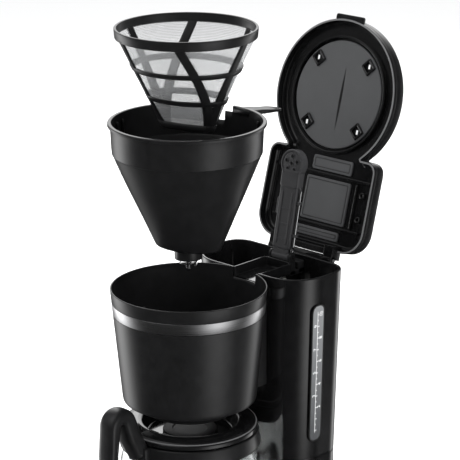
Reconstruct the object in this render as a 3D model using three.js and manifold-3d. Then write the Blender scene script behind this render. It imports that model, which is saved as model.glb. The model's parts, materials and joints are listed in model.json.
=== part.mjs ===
// Drip coffee maker, shown open for loading: lid up, water arm up, brew basket and
// permanent filter lifted above the filter housing. Millimetres, +Z up, front at -Y.
// Shapes are drawn with the axis of the filter housing at x = y = 0 and the desk at
// z = 0. The finished machine is then shifted so that its bounding box is centred.

import * as THREE from 'three';
import * as BufferGeometryUtils from 'three/addons/utils/BufferGeometryUtils.js';
import Module from 'manifold-3d';

const wasm = await Module();
wasm.setup();

// ---- driving dimensions ----------------------------------------------------------
const GAP = 0.3;                    // clearance between pieces that touch
const ROUND = 32;                   // sides of a full circle
const FINE_ROUND = 14;              // sides of a small circle

const RIM_Z = 290;                  // top edge of the filter housing and of the tank
const HOUSING_R = 74;               // filter housing, outside radius at the rim
const HOUSING_H = 111;              // rim down to the bottom edge
const HOUSING_SLOPE = 0.095;        // radius lost per millimetre downwards
const HOUSING_WALL = 1.5;
const WELL_R = 46;                  // well in the housing floor
const WELL_DEPTH = 12;
const BAND_TOP = 12.5;              // silver band, below the rim
const BAND_H = 11.6;
const BAND_T = 0.6;
const BEHIND_BAND = 0.8;            // wall left behind the band

const COLUMN_W = 73.7;              // tank column, half width at the rim
const COLUMN_FRONT = 71.5;          // y of its front wall
const COLUMN_BACK = 146;            // y of its back wall
const COLUMN_FRONT_R = 45;          // corner radii in plan
const COLUMN_BACK_R = 20;
const COLUMN_TAPER_X = 0.00038;     // narrowing per millimetre below the rim
const COLUMN_TAPER_Y = 0.00025;
const COLUMN_WALL = 2.5;
const SEAM_Z = 105;                 // where the column meets the base
const TANK_FLOOR = 112;
const TROUGH = { x0: -10, x1: 22, back: 118.4, floor: RIM_Z - 9.6, wall: 2 };  // for the handle
const GAUGE = { y0: 95.5, y1: 108.5, low: 123, high: 262 };         // slot in the side wall

const BASE_R = 72;                  // rounded front of the base
const BASE_TOP = 34;
const BASE_BOTTOM = 3;
const BASE_WALL = 2.5;
const PLATE_R = 57.5;               // warming plate
const PLATE_TOP = 38;
const FOOT_R = 8;
const SWITCH_Z = 18;                // power switch and lamp, on the front
const LAMP_X = 20;
const GLAND_X = -40;                // cord inlet, at the back
const GLAND_Z = 16;
const FEET = {                      // places in plan
  foot_front_left: [-38, -42], foot_front_right: [38, -42],
  foot_rear_left: [-48, 118], foot_rear_right: [48, 118],
};
const SCREW_PLACES = [[-54, 20], [54, 20], [-30, 128], [30, 128]];

const HINGE_Y = 159;                // lid hinge axis
const HINGE_Z = RIM_Z - 4;
const LID_OPEN = 105.8;             // degrees from closed
const LID_R = 74.3;
const LID_W = 68;                   // half width of the rear section
const LID_FRONT = 58;               // y where the rear section starts, lid closed
const LID_BACK = 151;
const LID_CORNER_R = 24;
const LID_DEPTH = 16.5;
const LID_WALL = 2.2;
const LID_PANELS = {                // inner panels: y0, y1, x0, x1, lid closed
  lid_panel_front: [62, 76, -16, 34],
  lid_panel_middle: [83, 126, -20, 36],
  lid_panel_rear: [133, 142, -22, 32],
};

const ARM_X = 5;                    // water arm pivot
const ARM_Y = 125;
const ARM_Z = RIM_Z + 2;
const ARM_LEAN = 11.7;              // degrees back from upright
const ARM_LENGTH = 91;              // pivot to centre of the shower head
const ARM_W = 21;
const ARM_T = 9;
const HEAD_R = 13.5;

const BASKET_Z = 450;               // top of the lifted basket
const LIP_R = 73.4;
const LIP_T = 3;
const BAND_R = 71.9;                // basket wall under the lip
const SHOULDER_R = 69.2;            // where the cone begins
const SHOULDER_DROP = 30;
const CONE_SLOPE = 0.394;
const BASKET_H = 122;
const BASKET_WALL = 1.8;
const LONG_AXIS = 15;               // degrees, direction of the oval bottom
const OUTLET_R = 13;
const OUTLET_H = 10;
const BASKET_SIDES = 32;            // sides of its level sections

const FILTER_Z = 538;               // top of the lifted filter
const FILTER_R = 65.8;
const FILTER_RING_H = 9;
const FILTER_H = 97;
const WEDGE_HALF = 27;              // half length of the filter's wedge bottom
const WEDGE_THICK = 4;
const RIBS = 6;
const FILTER_SIDES = 24;            // sides of its level sections
const RIB_ANGLE = 9;                // degrees, first rib

const CARAFE_Z = 38.6;              // underside of the glass
const CARAFE_NECK_Z = 150;
const CARAFE_WALL = 2;
const CARAFE_PROFILE = [            // radius, and height above the underside
  [0, 0], [56, 0], [65, 4.5], [69.3, 18], [70.4, 42], [69, 64], [66, 82], [61.5, 94],
  [61.5, CARAFE_NECK_Z - CARAFE_Z],
];
const LID_RING_R = 65;

const CENTRE_Y = 64.1;              // middle of the whole machine, front to back

// ---- colours ---------------------------------------------------------------------
const finish = (colour, roughness, metalness = 0) =>
  new THREE.MeshStandardMaterial({ color: colour, roughness, metalness });
const BLACK_SATIN = finish(0x161616, 0.42);
const BLACK_GLOSS = finish(0x0c0c0d, 0.12);
const DARK_GREY = finish(0x2a2a2b, 0.5);
const SATIN_GREY = finish(0x5c5d5e, 0.38);
const SILVER = finish(0xb5b6b8, 0.32, 0.9);
const STEEL = finish(0xc4c4c6, 0.25, 1);
const SOFT = finish(0x1d1d1d, 0.8);
const MESH_GREY = finish(0xcfd0d0, 0.6);
const SMOKED = finish(0x8f9294, 0.2);
const CLEAR = new THREE.MeshStandardMaterial({
  color: 0xe8eef0, roughness: 0.03, transparent: true, opacity: 0.3,
});
const SILICONE = finish(0xd8d8d6, 0.6);
const RED = finish(0xb01c14, 0.25);

// ---- solids ----------------------------------------------------------------------
const machine = new THREE.Group();

/** Merge shared vertices and turn the faces outwards if they point in. */
function closed(geometry) {
  const bare = geometry.clone();
  bare.deleteAttribute('normal');
  bare.deleteAttribute('uv');
  const merged = BufferGeometryUtils.mergeVertices(bare, 1e-4);
  const index = merged.index.array;
  const place = merged.attributes.position;
  const kept = [];
  let volume = 0;
  const a = new THREE.Vector3();
  const b = new THREE.Vector3();
  const c = new THREE.Vector3();
  for (let i = 0; i < index.length; i += 3) {
    const [p, q, r] = [index[i], index[i + 1], index[i + 2]];
    if (p === q || q === r || r === p) continue;
    a.fromBufferAttribute(place, p);
    b.fromBufferAttribute(place, q);
    c.fromBufferAttribute(place, r);
    volume += a.dot(b.cross(c));
    kept.push(p, q, r);
  }
  if (volume < 0) kept.reverse();
  merged.setIndex(kept);
  return merged;
}

function toManifold(geometry) {
  const whole = closed(geometry);
  const mesh = new wasm.Mesh({
    numProp: 3,
    vertProperties: new Float32Array(whole.attributes.position.array),
    triVerts: new Uint32Array(whole.index.array),
  });
  return new wasm.Manifold(mesh);
}

function fromManifold(manifold) {
  const mesh = manifold.getMesh();
  const geometry = new THREE.BufferGeometry();
  const place = new THREE.BufferAttribute(new Float32Array(mesh.vertProperties), 3);
  geometry.setAttribute('position', place);
  geometry.setIndex(new THREE.BufferAttribute(new Uint32Array(mesh.triVerts), 1));
  return geometry;
}

function cut(body, ...tools) {
  let result = toManifold(body);
  for (const tool of tools) result = result.subtract(toManifold(tool));
  return fromManifold(result);
}

function join(...bodies) {
  let result = toManifold(bodies[0]);
  for (const body of bodies.slice(1)) result = result.add(toManifold(body));
  return fromManifold(result);
}

function add(name, geometry, material, parent = machine) {
  const mesh = new THREE.Mesh(closed(geometry), material);
  mesh.name = name;
  parent.add(mesh);
  return mesh;
}

/** Turned solid about +Z from [radius, z] points. */
function turned(points, sides = ROUND) {
  const profile = points.map(([r, z]) => new THREE.Vector2(r, z));
  return new THREE.LatheGeometry(profile, sides).rotateX(Math.PI / 2);
}

/** Turned ring: the profile closes on itself. */
function turnedRing(points, sides = ROUND) {
  return turned([...points, points[0]], sides);
}

function disc(radius, low, high, x = 0, y = 0, sides = FINE_ROUND) {
  return turned([[0, low], [radius, low], [radius, high], [0, high]], sides).translate(x, y, 0);
}

function block(x0, x1, y0, y1, z0, z1) {
  const box = new THREE.BoxGeometry(x1 - x0, y1 - y0, z1 - z0);
  return box.translate((x0 + x1) / 2, (y0 + y1) / 2, (z0 + z1) / 2);
}

/** Round bar along X. */
function barX(radius, x0, x1, y, z, sides = FINE_ROUND) {
  const bar = new THREE.CylinderGeometry(radius, radius, x1 - x0, sides);
  return bar.rotateZ(Math.PI / 2).translate((x0 + x1) / 2, y, z);
}

/** Round bar along Y. */
function barY(radius, y0, y1, x, z, sides = FINE_ROUND) {
  const bar = new THREE.CylinderGeometry(radius, radius, y1 - y0, sides);
  return bar.translate(x, (y0 + y1) / 2, z);
}

function raised(shape, low, high, curveSegments = 4) {
  const options = { depth: high - low, bevelEnabled: false, curveSegments };
  return new THREE.ExtrudeGeometry(shape, options).translate(0, 0, low);
}

/** Round tube of the given radius along a smooth curve through the points. */
function tube(points, radius, steps, sides = 8) {
  const section = new THREE.Shape();
  for (let i = 0; i < sides; i += 1) {
    const turn = (2 * Math.PI * i) / sides;
    const [x, y] = [radius * Math.cos(turn), radius * Math.sin(turn)];
    if (i === 0) section.moveTo(x, y);
    else section.lineTo(x, y);
  }
  section.closePath();
  const path = new THREE.CatmullRomCurve3(points.map((p) => new THREE.Vector3(...p)));
  return new THREE.ExtrudeGeometry(section, { steps, extrudePath: path, bevelEnabled: false });
}

/** Rectangle in plan with its own radius at the front and at the back corners. */
function roundedPlan(halfWidth, front, back, frontR, backR, inset = 0) {
  const w = halfWidth - inset;
  const f = front + inset;
  const b = back - inset;
  const fr = Math.max(frontR - inset, 1);
  const br = Math.max(backR - inset, 1);
  const plan = new THREE.Shape();
  plan.moveTo(-w + fr, f);
  plan.lineTo(w - fr, f);
  plan.absarc(w - fr, f + fr, fr, -Math.PI / 2, 0);
  plan.lineTo(w, b - br);
  plan.absarc(w - br, b - br, br, 0, Math.PI / 2);
  plan.lineTo(-w + br, b);
  plan.absarc(-w + br, b - br, br, Math.PI / 2, Math.PI);
  plan.lineTo(-w, f + fr);
  plan.absarc(-w + fr, f + fr, fr, Math.PI, 1.5 * Math.PI);
  return plan;
}

/** Narrow a column piece downwards from the rim. */
function tapered(geometry) {
  const place = geometry.attributes.position;
  for (let i = 0; i < place.count; i += 1) {
    const drop = RIM_Z - place.getZ(i);
    place.setX(i, place.getX(i) * (1 - COLUMN_TAPER_X * drop));
    const y = COLUMN_FRONT + (place.getY(i) - COLUMN_FRONT) * (1 - COLUMN_TAPER_Y * drop);
    place.setY(i, y);
  }
  return geometry;
}

function columnPrism(low, high, inset = 0) {
  const plan = roundedPlan(
    COLUMN_W, COLUMN_FRONT, COLUMN_BACK, COLUMN_FRONT_R, COLUMN_BACK_R, inset);
  return tapered(raised(plan, low, high));
}

const housingRadius = (drop) => HOUSING_R - HOUSING_SLOPE * drop;

// ---- base ------------------------------------------------------------------------
const BASE_HALF_W = COLUMN_W * (1 - COLUMN_TAPER_X * (RIM_Z - SEAM_Z));
const BASE_BACK = COLUMN_FRONT
  + (COLUMN_BACK - COLUMN_FRONT) * (1 - COLUMN_TAPER_Y * (RIM_Z - SEAM_Z));

/** Base outline: half circle at the front, straight sides, rounded back corners. */
function basePlan(inset = 0) {
  const r = BASE_R - inset;
  const w = BASE_HALF_W - inset;
  const back = BASE_BACK - inset;
  const cornerR = COLUMN_BACK_R - inset;
  const start = Math.acos(w / r);
  const plan = new THREE.Shape();
  plan.absarc(0, 0, r, Math.PI + start, 2 * Math.PI - start);
  plan.lineTo(w, back - cornerR);
  plan.absarc(w - cornerR, back - cornerR, cornerR, 0, Math.PI / 2);
  plan.lineTo(-w + cornerR, back);
  plan.absarc(-w + cornerR, back - cornerR, cornerR, Math.PI / 2, Math.PI);
  plan.lineTo(-w, -r * Math.sin(start));
  return plan;
}

function riserPlan(inset = 0) {
  return roundedPlan(
    BASE_HALF_W, COLUMN_FRONT, BASE_BACK, COLUMN_FRONT_R, COLUMN_BACK_R, inset);
}

function baseShell() {
  const outside = join(
    raised(basePlan(), BASE_BOTTOM, BASE_TOP, 8),
    raised(riserPlan(), BASE_TOP - 1, SEAM_Z - GAP));
  const inside = join(
    raised(basePlan(BASE_WALL), BASE_BOTTOM - 1, BASE_TOP - BASE_WALL, 8),
    raised(riserPlan(BASE_WALL), BASE_TOP - BASE_WALL - 1, SEAM_Z + 1));
  const plateHole = disc(PLATE_R - 4, BASE_TOP - 5, BASE_TOP + 1, 0, 0, ROUND);
  const switchHole = block(-11, 11, -90, -50, SWITCH_Z - 8, SWITCH_Z + 8);
  const lampHole = barY(2.6, -90, -50, LAMP_X, SWITCH_Z);
  const glandHole = barY(5.3, BASE_BACK - 10, BASE_BACK + 10, GLAND_X, GLAND_Z);
  return cut(outside, inside, plateHole, switchHole, lampHole, glandHole);
}

function bottomPlate() {
  const plate = raised(basePlan(BASE_WALL + GAP), BASE_BOTTOM + GAP, BASE_BOTTOM + 2.8, 8);
  const vents = [];
  for (let i = -2; i <= 2; i += 1) {
    vents.push(block(i * 12 - 3, i * 12 + 3, 40, 62, 0, 10));
  }
  const screws = SCREW_PLACES.map(([x, y]) => disc(1.9, 0, 10, x, y, 12));
  return cut(plate, ...vents, ...screws);
}

function foot(x, y) {
  return turned([[0, 0], [FOOT_R - 1, 0], [FOOT_R, 1], [FOOT_R, BASE_BOTTOM], [0, BASE_BOTTOM]],
    FINE_ROUND).translate(x, y, 0);
}

function screw(x, y) {
  return turned([[0, 1.2], [3.4, 1.2], [3.4, BASE_BOTTOM], [1.5, BASE_BOTTOM], [1.5, 13], [0, 13]],
    12).translate(x, y, 0);
}

function warmingPlate() {
  const under = PLATE_TOP - 3.6;
  return turned([
    [0, PLATE_TOP - 1.5], [PLATE_R - 5, PLATE_TOP - 1.5], [PLATE_R - 4, PLATE_TOP],
    [PLATE_R - 0.8, PLATE_TOP], [PLATE_R, PLATE_TOP - 1], [PLATE_R, under + GAP],
    [PLATE_R - 4.4, under + GAP], [PLATE_R - 4.4, under - 2], [0, under - 2],
  ]);
}

function heaterTube() {
  const points = [];
  for (let i = 0; i <= 8; i += 1) {
    const turn = THREE.MathUtils.degToRad(120 - i * 37.5);
    points.push([38 * Math.cos(turn), 38 * Math.sin(turn), 26]);
  }
  return tube(points, 5.5, 24);
}

function buildBase() {
  add('base_shell', baseShell(), BLACK_SATIN);
  add('bottom_plate', bottomPlate(), DARK_GREY);
  for (const [name, [x, y]] of Object.entries(FEET)) add(name, foot(x, y), SOFT);
  SCREW_PLACES.forEach(([x, y], i) => add(`bottom_screw_${i + 1}`, screw(x, y), STEEL));
  add('warming_plate', warmingPlate(), DARK_GREY);
  add('heater_tube', heaterTube(), STEEL);
  add('thermostat', disc(8, 21, 31.8, 0, 0, FINE_ROUND), STEEL);
  add('thermal_fuse', new THREE.CylinderGeometry(2.2, 2.2, 16, 12)
    .rotateZ(Math.PI / 2).translate(0, -16, 29), SILVER);
  add('switch_bezel', switchBezel(), BLACK_GLOSS);
  add('power_switch', barX(5.2, -8.2, 8.2, -66.6, SWITCH_Z, 16), BLACK_SATIN);
  add('indicator_lamp', barY(2.3, -70.4, -62, LAMP_X, SWITCH_Z, 16), RED);
  const gland = join(
    barY(5, BASE_BACK - 6, BASE_BACK + 2.5, GLAND_X, GLAND_Z),
    barY(7, BASE_BACK - BASE_WALL - 3, BASE_BACK - BASE_WALL - GAP, GLAND_X, GLAND_Z));
  const bore = barY(3.2, BASE_BACK - 20, BASE_BACK + 20, GLAND_X, GLAND_Z, 16);
  add('cord_gland', cut(gland, bore), SOFT);
}

function switchBezel() {
  const frame = block(-10.7, 10.7, -72.7, -62, SWITCH_Z - 7.7, SWITCH_Z + 7.7);
  return cut(frame, block(-8.5, 8.5, -90, -50, SWITCH_Z - 5.5, SWITCH_Z + 5.5));
}

// ---- water path inside the base and the column -------------------------------------
function buildWaterPath() {
  add('inlet_hose', tube([
    [-22, 104, 96], [-22, 103, 60], [-23, 94, 28], [-24, 72, 19], [-25, 47, 24],
  ], 4.5, 16), SILICONE);
  add('check_valve', disc(6.5, 96.5, 104, -22, 104, 12), SILVER);
  add('riser_tube', tube([
    [20, 48, 24], [19, 68, 19], [13, 96, 26], [ARM_X, 118, 56], [ARM_X, ARM_Y, 96],
    [ARM_X, ARM_Y, 180], [ARM_X, ARM_Y, RIM_Z - 18],
  ], 4.5, 26), SILICONE);
}

// ---- tank column -------------------------------------------------------------------
function columnShell() {
  const outside = columnPrism(SEAM_Z, RIM_Z);
  const tank = columnPrism(TANK_FLOOR, RIM_Z + 5, COLUMN_WALL);
  const underside = columnPrism(SEAM_Z - 5, TANK_FLOOR - COLUMN_WALL, COLUMN_WALL);
  const { x0, x1, back, floor, wall } = TROUGH;
  const troughOutside = block(
    x0 - wall, x1 + wall, COLUMN_FRONT + 1, back + wall, floor - wall, RIM_Z - 0.5);
  const troughInside = block(x0, x1, COLUMN_FRONT - 10, back, floor, RIM_Z + 10);
  const riserHole = disc(5.6, SEAM_Z, TANK_FLOOR + 5, ARM_X, ARM_Y, 12);
  const outletHole = disc(3, SEAM_Z, TANK_FLOOR + 5, -22, 104, 12);
  const gaugeHole = block(50, 90, GAUGE.y0, GAUGE.y1, GAUGE.low, GAUGE.high);
  const mount = hingeMount();
  return cut(
    join(cut(outside, tank, underside), troughOutside, mount),
    troughInside, riserHole, outletHole, gaugeHole,
    barX(2, -60, 60, HINGE_Y, HINGE_Z, 12));
}

/** Bracket on the back wall that carries the middle of the hinge pin. */
function hingeMount() {
  return join(
    block(-29, 29, COLUMN_BACK - 1, HINGE_Y, HINGE_Z - 4, HINGE_Z + 1),
    barX(4, -29, 29, HINGE_Y, HINGE_Z, 12));
}

function gaugeWindow() {
  const slot = block(
    50, 90, GAUGE.y0 + GAP, GAUGE.y1 - GAP, GAUGE.low + GAP, GAUGE.high - GAP);
  const wall = cut(columnPrism(SEAM_Z, RIM_Z, 0.3), columnPrism(SEAM_Z - 5, RIM_Z + 5, 2.2));
  return fromManifold(toManifold(slot).intersect(toManifold(wall)));
}

function armBracket() {
  const foot = block(ARM_X - 14, ARM_X + 14, ARM_Y - 4, ARM_Y + 17.8, RIM_Z - 16, RIM_Z - 11);
  const bridge = block(ARM_X - 14, ARM_X + 14, ARM_Y + 8, ARM_Y + 17.8, RIM_Z - 15, RIM_Z - 4);
  const left = block(ARM_X - 14, ARM_X - 11, ARM_Y - 4, ARM_Y + 4, RIM_Z - 15, ARM_Z + 4.5);
  const right = block(ARM_X + 11, ARM_X + 14, ARM_Y - 4, ARM_Y + 4, RIM_Z - 15, ARM_Z + 4.5);
  return cut(
    join(foot, bridge, left, right),
    disc(4.9, RIM_Z - 30, RIM_Z, ARM_X, ARM_Y, 12),
    barX(2, ARM_X - 30, ARM_X + 30, ARM_Y, ARM_Z, 12));
}

function buildColumn() {
  add('tank_shell', columnShell(), BLACK_GLOSS);
  add('gauge_window', gaugeWindow(), SMOKED);
  add('arm_bracket', armBracket(), BLACK_SATIN);
  add('arm_pin', barX(1.6, ARM_X - 14.5, ARM_X + 14.5, ARM_Y, ARM_Z, 10), STEEL);
  add('hinge_pin', barX(1.6, -42, 42, HINGE_Y, HINGE_Z, 10), STEEL);
}

// ---- filter housing ----------------------------------------------------------------
const HOUSING_FLOOR = HOUSING_H - 4;
const WELL_FLOOR = HOUSING_H + WELL_DEPTH;

function filterHousing() {
  const edge = housingRadius(HOUSING_H - 5);
  const groove = BAND_T + GAP;
  const bandEnd = BAND_TOP + BAND_H;
  const drum = turnedRing([
    [housingRadius(0), RIM_Z],
    [housingRadius(BAND_TOP), RIM_Z - BAND_TOP],
    [housingRadius(BAND_TOP) - groove, RIM_Z - BAND_TOP],
    [housingRadius(bandEnd) - groove, RIM_Z - bandEnd],
    [housingRadius(bandEnd), RIM_Z - bandEnd],
    [edge, RIM_Z - HOUSING_H + 5],
    [edge - 1.5, RIM_Z - HOUSING_H + 1.5],
    [edge - 5, RIM_Z - HOUSING_H],
    [WELL_R, RIM_Z - HOUSING_H],
    [WELL_R - 4, RIM_Z - WELL_FLOOR],
    [15, RIM_Z - WELL_FLOOR],
    [15, RIM_Z - WELL_FLOOR + 2],
    [WELL_R - 5.5, RIM_Z - WELL_FLOOR + 2],
    [WELL_R - 2, RIM_Z - HOUSING_FLOOR],
    [edge - HOUSING_WALL - 1, RIM_Z - HOUSING_FLOOR],
    [housingRadius(bandEnd) - HOUSING_WALL - 0.2, RIM_Z - bandEnd - 3],
    [housingRadius(bandEnd) - groove - BEHIND_BAND, RIM_Z - bandEnd],
    [housingRadius(BAND_TOP) - groove - BEHIND_BAND, RIM_Z - BAND_TOP],
    [housingRadius(0) - HOUSING_WALL, RIM_Z - 2],
    [housingRadius(0) - HOUSING_WALL, RIM_Z],
  ]);
  const neck = block(-34, 34, 40, COLUMN_FRONT - GAP, RIM_Z - HOUSING_H + 2, RIM_Z - 12);
  const core = turned([
    [0, RIM_Z - 140], [housingRadius(HOUSING_H) - 1, RIM_Z - 140],
    [housingRadius(HOUSING_H) - 1, RIM_Z - HOUSING_H],
    [housingRadius(0) - 1, RIM_Z], [housingRadius(0) - 1, RIM_Z + 10], [0, RIM_Z + 10],
  ]);
  const { x0, x1, floor } = TROUGH;
  return cut(
    join(drum, cut(neck, core)),
    block(-100, 100, COLUMN_FRONT - GAP, 120, 0, 400),
    block(x0, x1, 50, 100, floor, RIM_Z + 10));
}

function silverBand() {
  const top = RIM_Z - BAND_TOP - GAP;
  const low = RIM_Z - BAND_TOP - BAND_H + GAP;
  const outer = (z) => housingRadius(RIM_Z - z);
  const ring = turnedRing([
    [outer(top), top], [outer(top) - BAND_T, top], [outer(low) - BAND_T, low], [outer(low), low],
  ]);
  const behind = block(-34 - GAP, 34 + GAP, 40, 120, 0, 400);
  return cut(ring, behind);
}

function buildHousing() {
  add('filter_housing', filterHousing(), BLACK_SATIN);
  add('housing_band', silverBand(), SILVER);
}

// ---- lid -----------------------------------------------------------------------------
/** Figure-eight outline: a circle over the housing and a rounded rectangle over the tank. */
function lidBody(low, high, inset = 0) {
  const back = roundedPlan(LID_W, LID_FRONT, LID_BACK, LID_CORNER_R, LID_CORNER_R, inset);
  return join(disc(LID_R - inset, low, high, 0, 0, ROUND), raised(back, low, high));
}

function hingeLug(x0, x1) {
  const arm = block(x0, x1, LID_BACK - 6, HINGE_Y, HINGE_Z - 3, RIM_Z + 6);
  return join(arm, barX(4, x0, x1, HINGE_Y, HINGE_Z, 12));
}

function lidShell() {
  const low = RIM_Z + 0.5;
  const high = RIM_Z + LID_DEPTH;
  const hollow = lidBody(low - 5, high - LID_WALL, LID_WALL);
  const tab = block(-14, 14, -LID_R - 4.5, -LID_R + 3, low, low + 5.5);
  return cut(
    join(cut(join(lidBody(low, high), tab), hollow), hingeLug(-41, -29.6), hingeLug(29.6, 41)),
    barX(2, -60, 60, HINGE_Y, HINGE_Z, 12));
}

/** Inner moulding with the round rib that surrounds the disc. */
function lidLiner() {
  const plate = lidBody(RIM_Z + 10, RIM_Z + 12.5, LID_WALL + GAP);
  const rib = turnedRing([
    [56, RIM_Z + 5], [58.5, RIM_Z + 5], [58.5, RIM_Z + 11], [56, RIM_Z + 11],
  ]);
  return join(plate, rib);
}

function lidDisc() {
  const low = RIM_Z + 6.5;
  const plate = disc(53.5, low, RIM_Z + 10 - GAP, 0, 0, ROUND);
  const sockets = [0, 1, 2, 3].map((i) => block(-3.5, 3.5, -3.5, 3.5, RIM_Z, RIM_Z + 20)
    .translate(0, 45, 0).rotateZ(((45 + 90 * i) * Math.PI) / 180));
  return cut(plate, ...sockets);
}

function inLid(geometry) {
  return geometry.translate(0, -HINGE_Y, -HINGE_Z);
}

function buildLid() {
  const lid = new THREE.Group();
  lid.position.set(0, HINGE_Y, HINGE_Z);
  lid.rotation.x = -THREE.MathUtils.degToRad(LID_OPEN);
  machine.add(lid);
  add('lid_shell', inLid(lidShell()), BLACK_GLOSS, lid);
  add('lid_liner', inLid(lidLiner()), BLACK_GLOSS, lid);
  add('lid_disc', inLid(lidDisc()), SATIN_GREY, lid);
  for (const [name, [y0, y1, x0, x1]] of Object.entries(LID_PANELS)) {
    add(name, inLid(block(x0, x1, y0, y1, RIM_Z + 7.5, RIM_Z + 10 - GAP)), SATIN_GREY, lid);
  }
}

// ---- water arm -----------------------------------------------------------------------
function armBody() {
  const half = ARM_W / 2;
  const bar = block(-half, half, -ARM_T / 2, ARM_T / 2, 5.5, ARM_LENGTH - 9);
  const root = join(
    barX(4.2, -10.6, 10.6, 0, 0, 14),
    block(-9, 9, -ARM_T / 2 + 0.7, ARM_T / 2 - 0.7, 0, 7));
  const neck = block(-11, 11, -ARM_T / 2 - 0.7, ARM_T / 2, ARM_LENGTH - 22, ARM_LENGTH);
  const head = barY(HEAD_R, -ARM_T / 2 - 0.7, ARM_T / 2, 0, ARM_LENGTH, 24);
  const recess = barY(HEAD_R - 2, -ARM_T, -ARM_T / 2 + 1.5, 0, ARM_LENGTH, 24);
  return cut(join(bar, root, neck, head), recess, barX(2, -30, 30, 0, 0, 10));
}

function showerPlate() {
  const plate = barY(
    HEAD_R - 2 - GAP, -ARM_T / 2 - 0.7, -ARM_T / 2 + 1.5 - GAP, 0, ARM_LENGTH, 24);
  const holes = [barY(1.5, -20, 20, 0, ARM_LENGTH, 8)];
  for (let i = 0; i < 5; i += 1) {
    const turn = (2 * Math.PI * (i + 0.25)) / 5;
    holes.push(barY(1.5, -20, 20, 7 * Math.cos(turn), ARM_LENGTH + 7 * Math.sin(turn), 8));
  }
  return cut(plate, ...holes);
}

function buildArm() {
  const arm = new THREE.Group();
  arm.position.set(ARM_X, ARM_Y, ARM_Z);
  arm.rotation.x = -THREE.MathUtils.degToRad(ARM_LEAN);
  machine.add(arm);
  add('water_arm', armBody(), DARK_GREY, arm);
  add('shower_plate', showerPlate(), SATIN_GREY, arm);
  add('arm_side_tube', new THREE.CylinderGeometry(1.5, 1.5, 60, 8)
    .rotateX(Math.PI / 2).translate(ARM_W / 2 + 2, 0, 38), STEEL, arm);
}

// ---- brew basket -----------------------------------------------------------------------
/** Solid whose oval level sections are given as [z, half length, half width]. */
function lofted(levels, sides, turnDegrees) {
  const place = [];
  const index = [];
  const lean = THREE.MathUtils.degToRad(turnDegrees);
  for (const [z, long, short] of levels) {
    for (let i = 0; i < sides; i += 1) {
      const t = (2 * Math.PI * i) / sides;
      const [x, y] = [long * Math.cos(t), short * Math.sin(t)];
      place.push(x * Math.cos(lean) - y * Math.sin(lean));
      place.push(x * Math.sin(lean) + y * Math.cos(lean), z);
    }
  }
  const last = levels.length - 1;
  place.push(0, 0, levels[0][0], 0, 0, levels[last][0]);
  const [first, end] = [levels.length * sides, levels.length * sides + 1];
  for (let i = 0; i < sides; i += 1) {
    const j = (i + 1) % sides;
    for (let k = 0; k < last; k += 1) {
      const [a, b] = [k * sides, (k + 1) * sides];
      index.push(a + i, a + j, b + j, a + i, b + j, b + i);
    }
    index.push(first, j, i, end, last * sides + i, last * sides + j);
  }
  const geometry = new THREE.BufferGeometry();
  geometry.setAttribute('position', new THREE.Float32BufferAttribute(place, 3));
  geometry.setIndex(index);
  return geometry;
}

/** Half length and half width of the basket, this far below its shoulder. */
function coneOval(below, inset = 0) {
  const long = SHOULDER_R - CONE_SLOPE * below - inset;
  const squeeze = 0.42 * (below / (BASKET_H - SHOULDER_DROP)) ** 2;
  return [long, (SHOULDER_R - CONE_SLOPE * below) * (1 - squeeze) - inset];
}

function basketLevels(inset) {
  const floor = BASKET_H - inset;
  const levels = [];
  for (const below of [0, 30, 60, 80]) {
    levels.push([BASKET_Z - SHOULDER_DROP - below, ...coneOval(below, inset)]);
  }
  const end = floor - SHOULDER_DROP;
  levels.push([BASKET_Z - floor + 4, ...coneOval(end - 4, inset)]);
  levels.push([BASKET_Z - floor, ...coneOval(end, inset + 4)]);
  return levels;
}

function filterBasket() {
  const lipLow = BASKET_Z - LIP_T;
  const outside = lofted([
    [BASKET_Z, LIP_R, LIP_R], [lipLow, LIP_R, LIP_R], [lipLow, BAND_R, BAND_R],
    ...basketLevels(0),
  ], BASKET_SIDES, LONG_AXIS);
  const inside = lofted([
    [BASKET_Z + 1, BAND_R - 1.2, BAND_R - 1.2], [BASKET_Z - 4, BAND_R - 1.4, BAND_R - 1.4],
    ...basketLevels(BASKET_WALL),
  ], BASKET_SIDES, LONG_AXIS);
  const bottom = BASKET_Z - BASKET_H;
  const outlet = disc(OUTLET_R, bottom - OUTLET_H, bottom + 1, 0, 0, FINE_ROUND);
  const bore = disc(OUTLET_R - 2, bottom - OUTLET_H - 1, bottom - 1, 0, 0, FINE_ROUND);
  const drip = disc(6, bottom - 5, bottom + 10, 0, 0, 12);
  const overflow = block(-34, -17, 55, 90, BASKET_Z - 15, BASKET_Z + 5);
  const step = block(-17, -8, 62, 90, BASKET_Z - 6, BASKET_Z + 5);
  return cut(join(cut(outside, inside), outlet, basketHandle()), bore, drip, overflow, step);
}

/** Spoon-shaped handle: a strip that runs back from the rim and dips towards its end. */
function basketHandle() {
  const side = new THREE.Shape();
  side.moveTo(70, -0.3);
  side.quadraticCurveTo(84, -1, 92, -3.6);
  side.quadraticCurveTo(104, -5, 116, -7.4);
  side.lineTo(117.2, -9);
  side.lineTo(116, -10.6);
  side.quadraticCurveTo(104, -8.4, 92, -7.4);
  side.quadraticCurveTo(84, -6, 70, -5);
  const options = { depth: 26, bevelEnabled: false, curveSegments: 3 };
  const strip = new THREE.ExtrudeGeometry(side, options)
    .rotateX(Math.PI / 2).rotateZ(Math.PI / 2).translate(-7, 0, BASKET_Z);
  const plan = new THREE.Shape();
  plan.moveTo(-7, 66);
  plan.lineTo(19, 66);
  plan.quadraticCurveTo(17, 84, 16, 96);
  plan.absarc(6.5, 108, 9.4, 0, Math.PI);
  plan.quadraticCurveTo(-3, 84, -7, 66);
  const outline = raised(plan, BASKET_Z - 20, BASKET_Z + 5, 5);
  return fromManifold(toManifold(strip).intersect(toManifold(outline)));
}

const VALVE_TOP = BASKET_Z - BASKET_H + 6.3;

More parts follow.
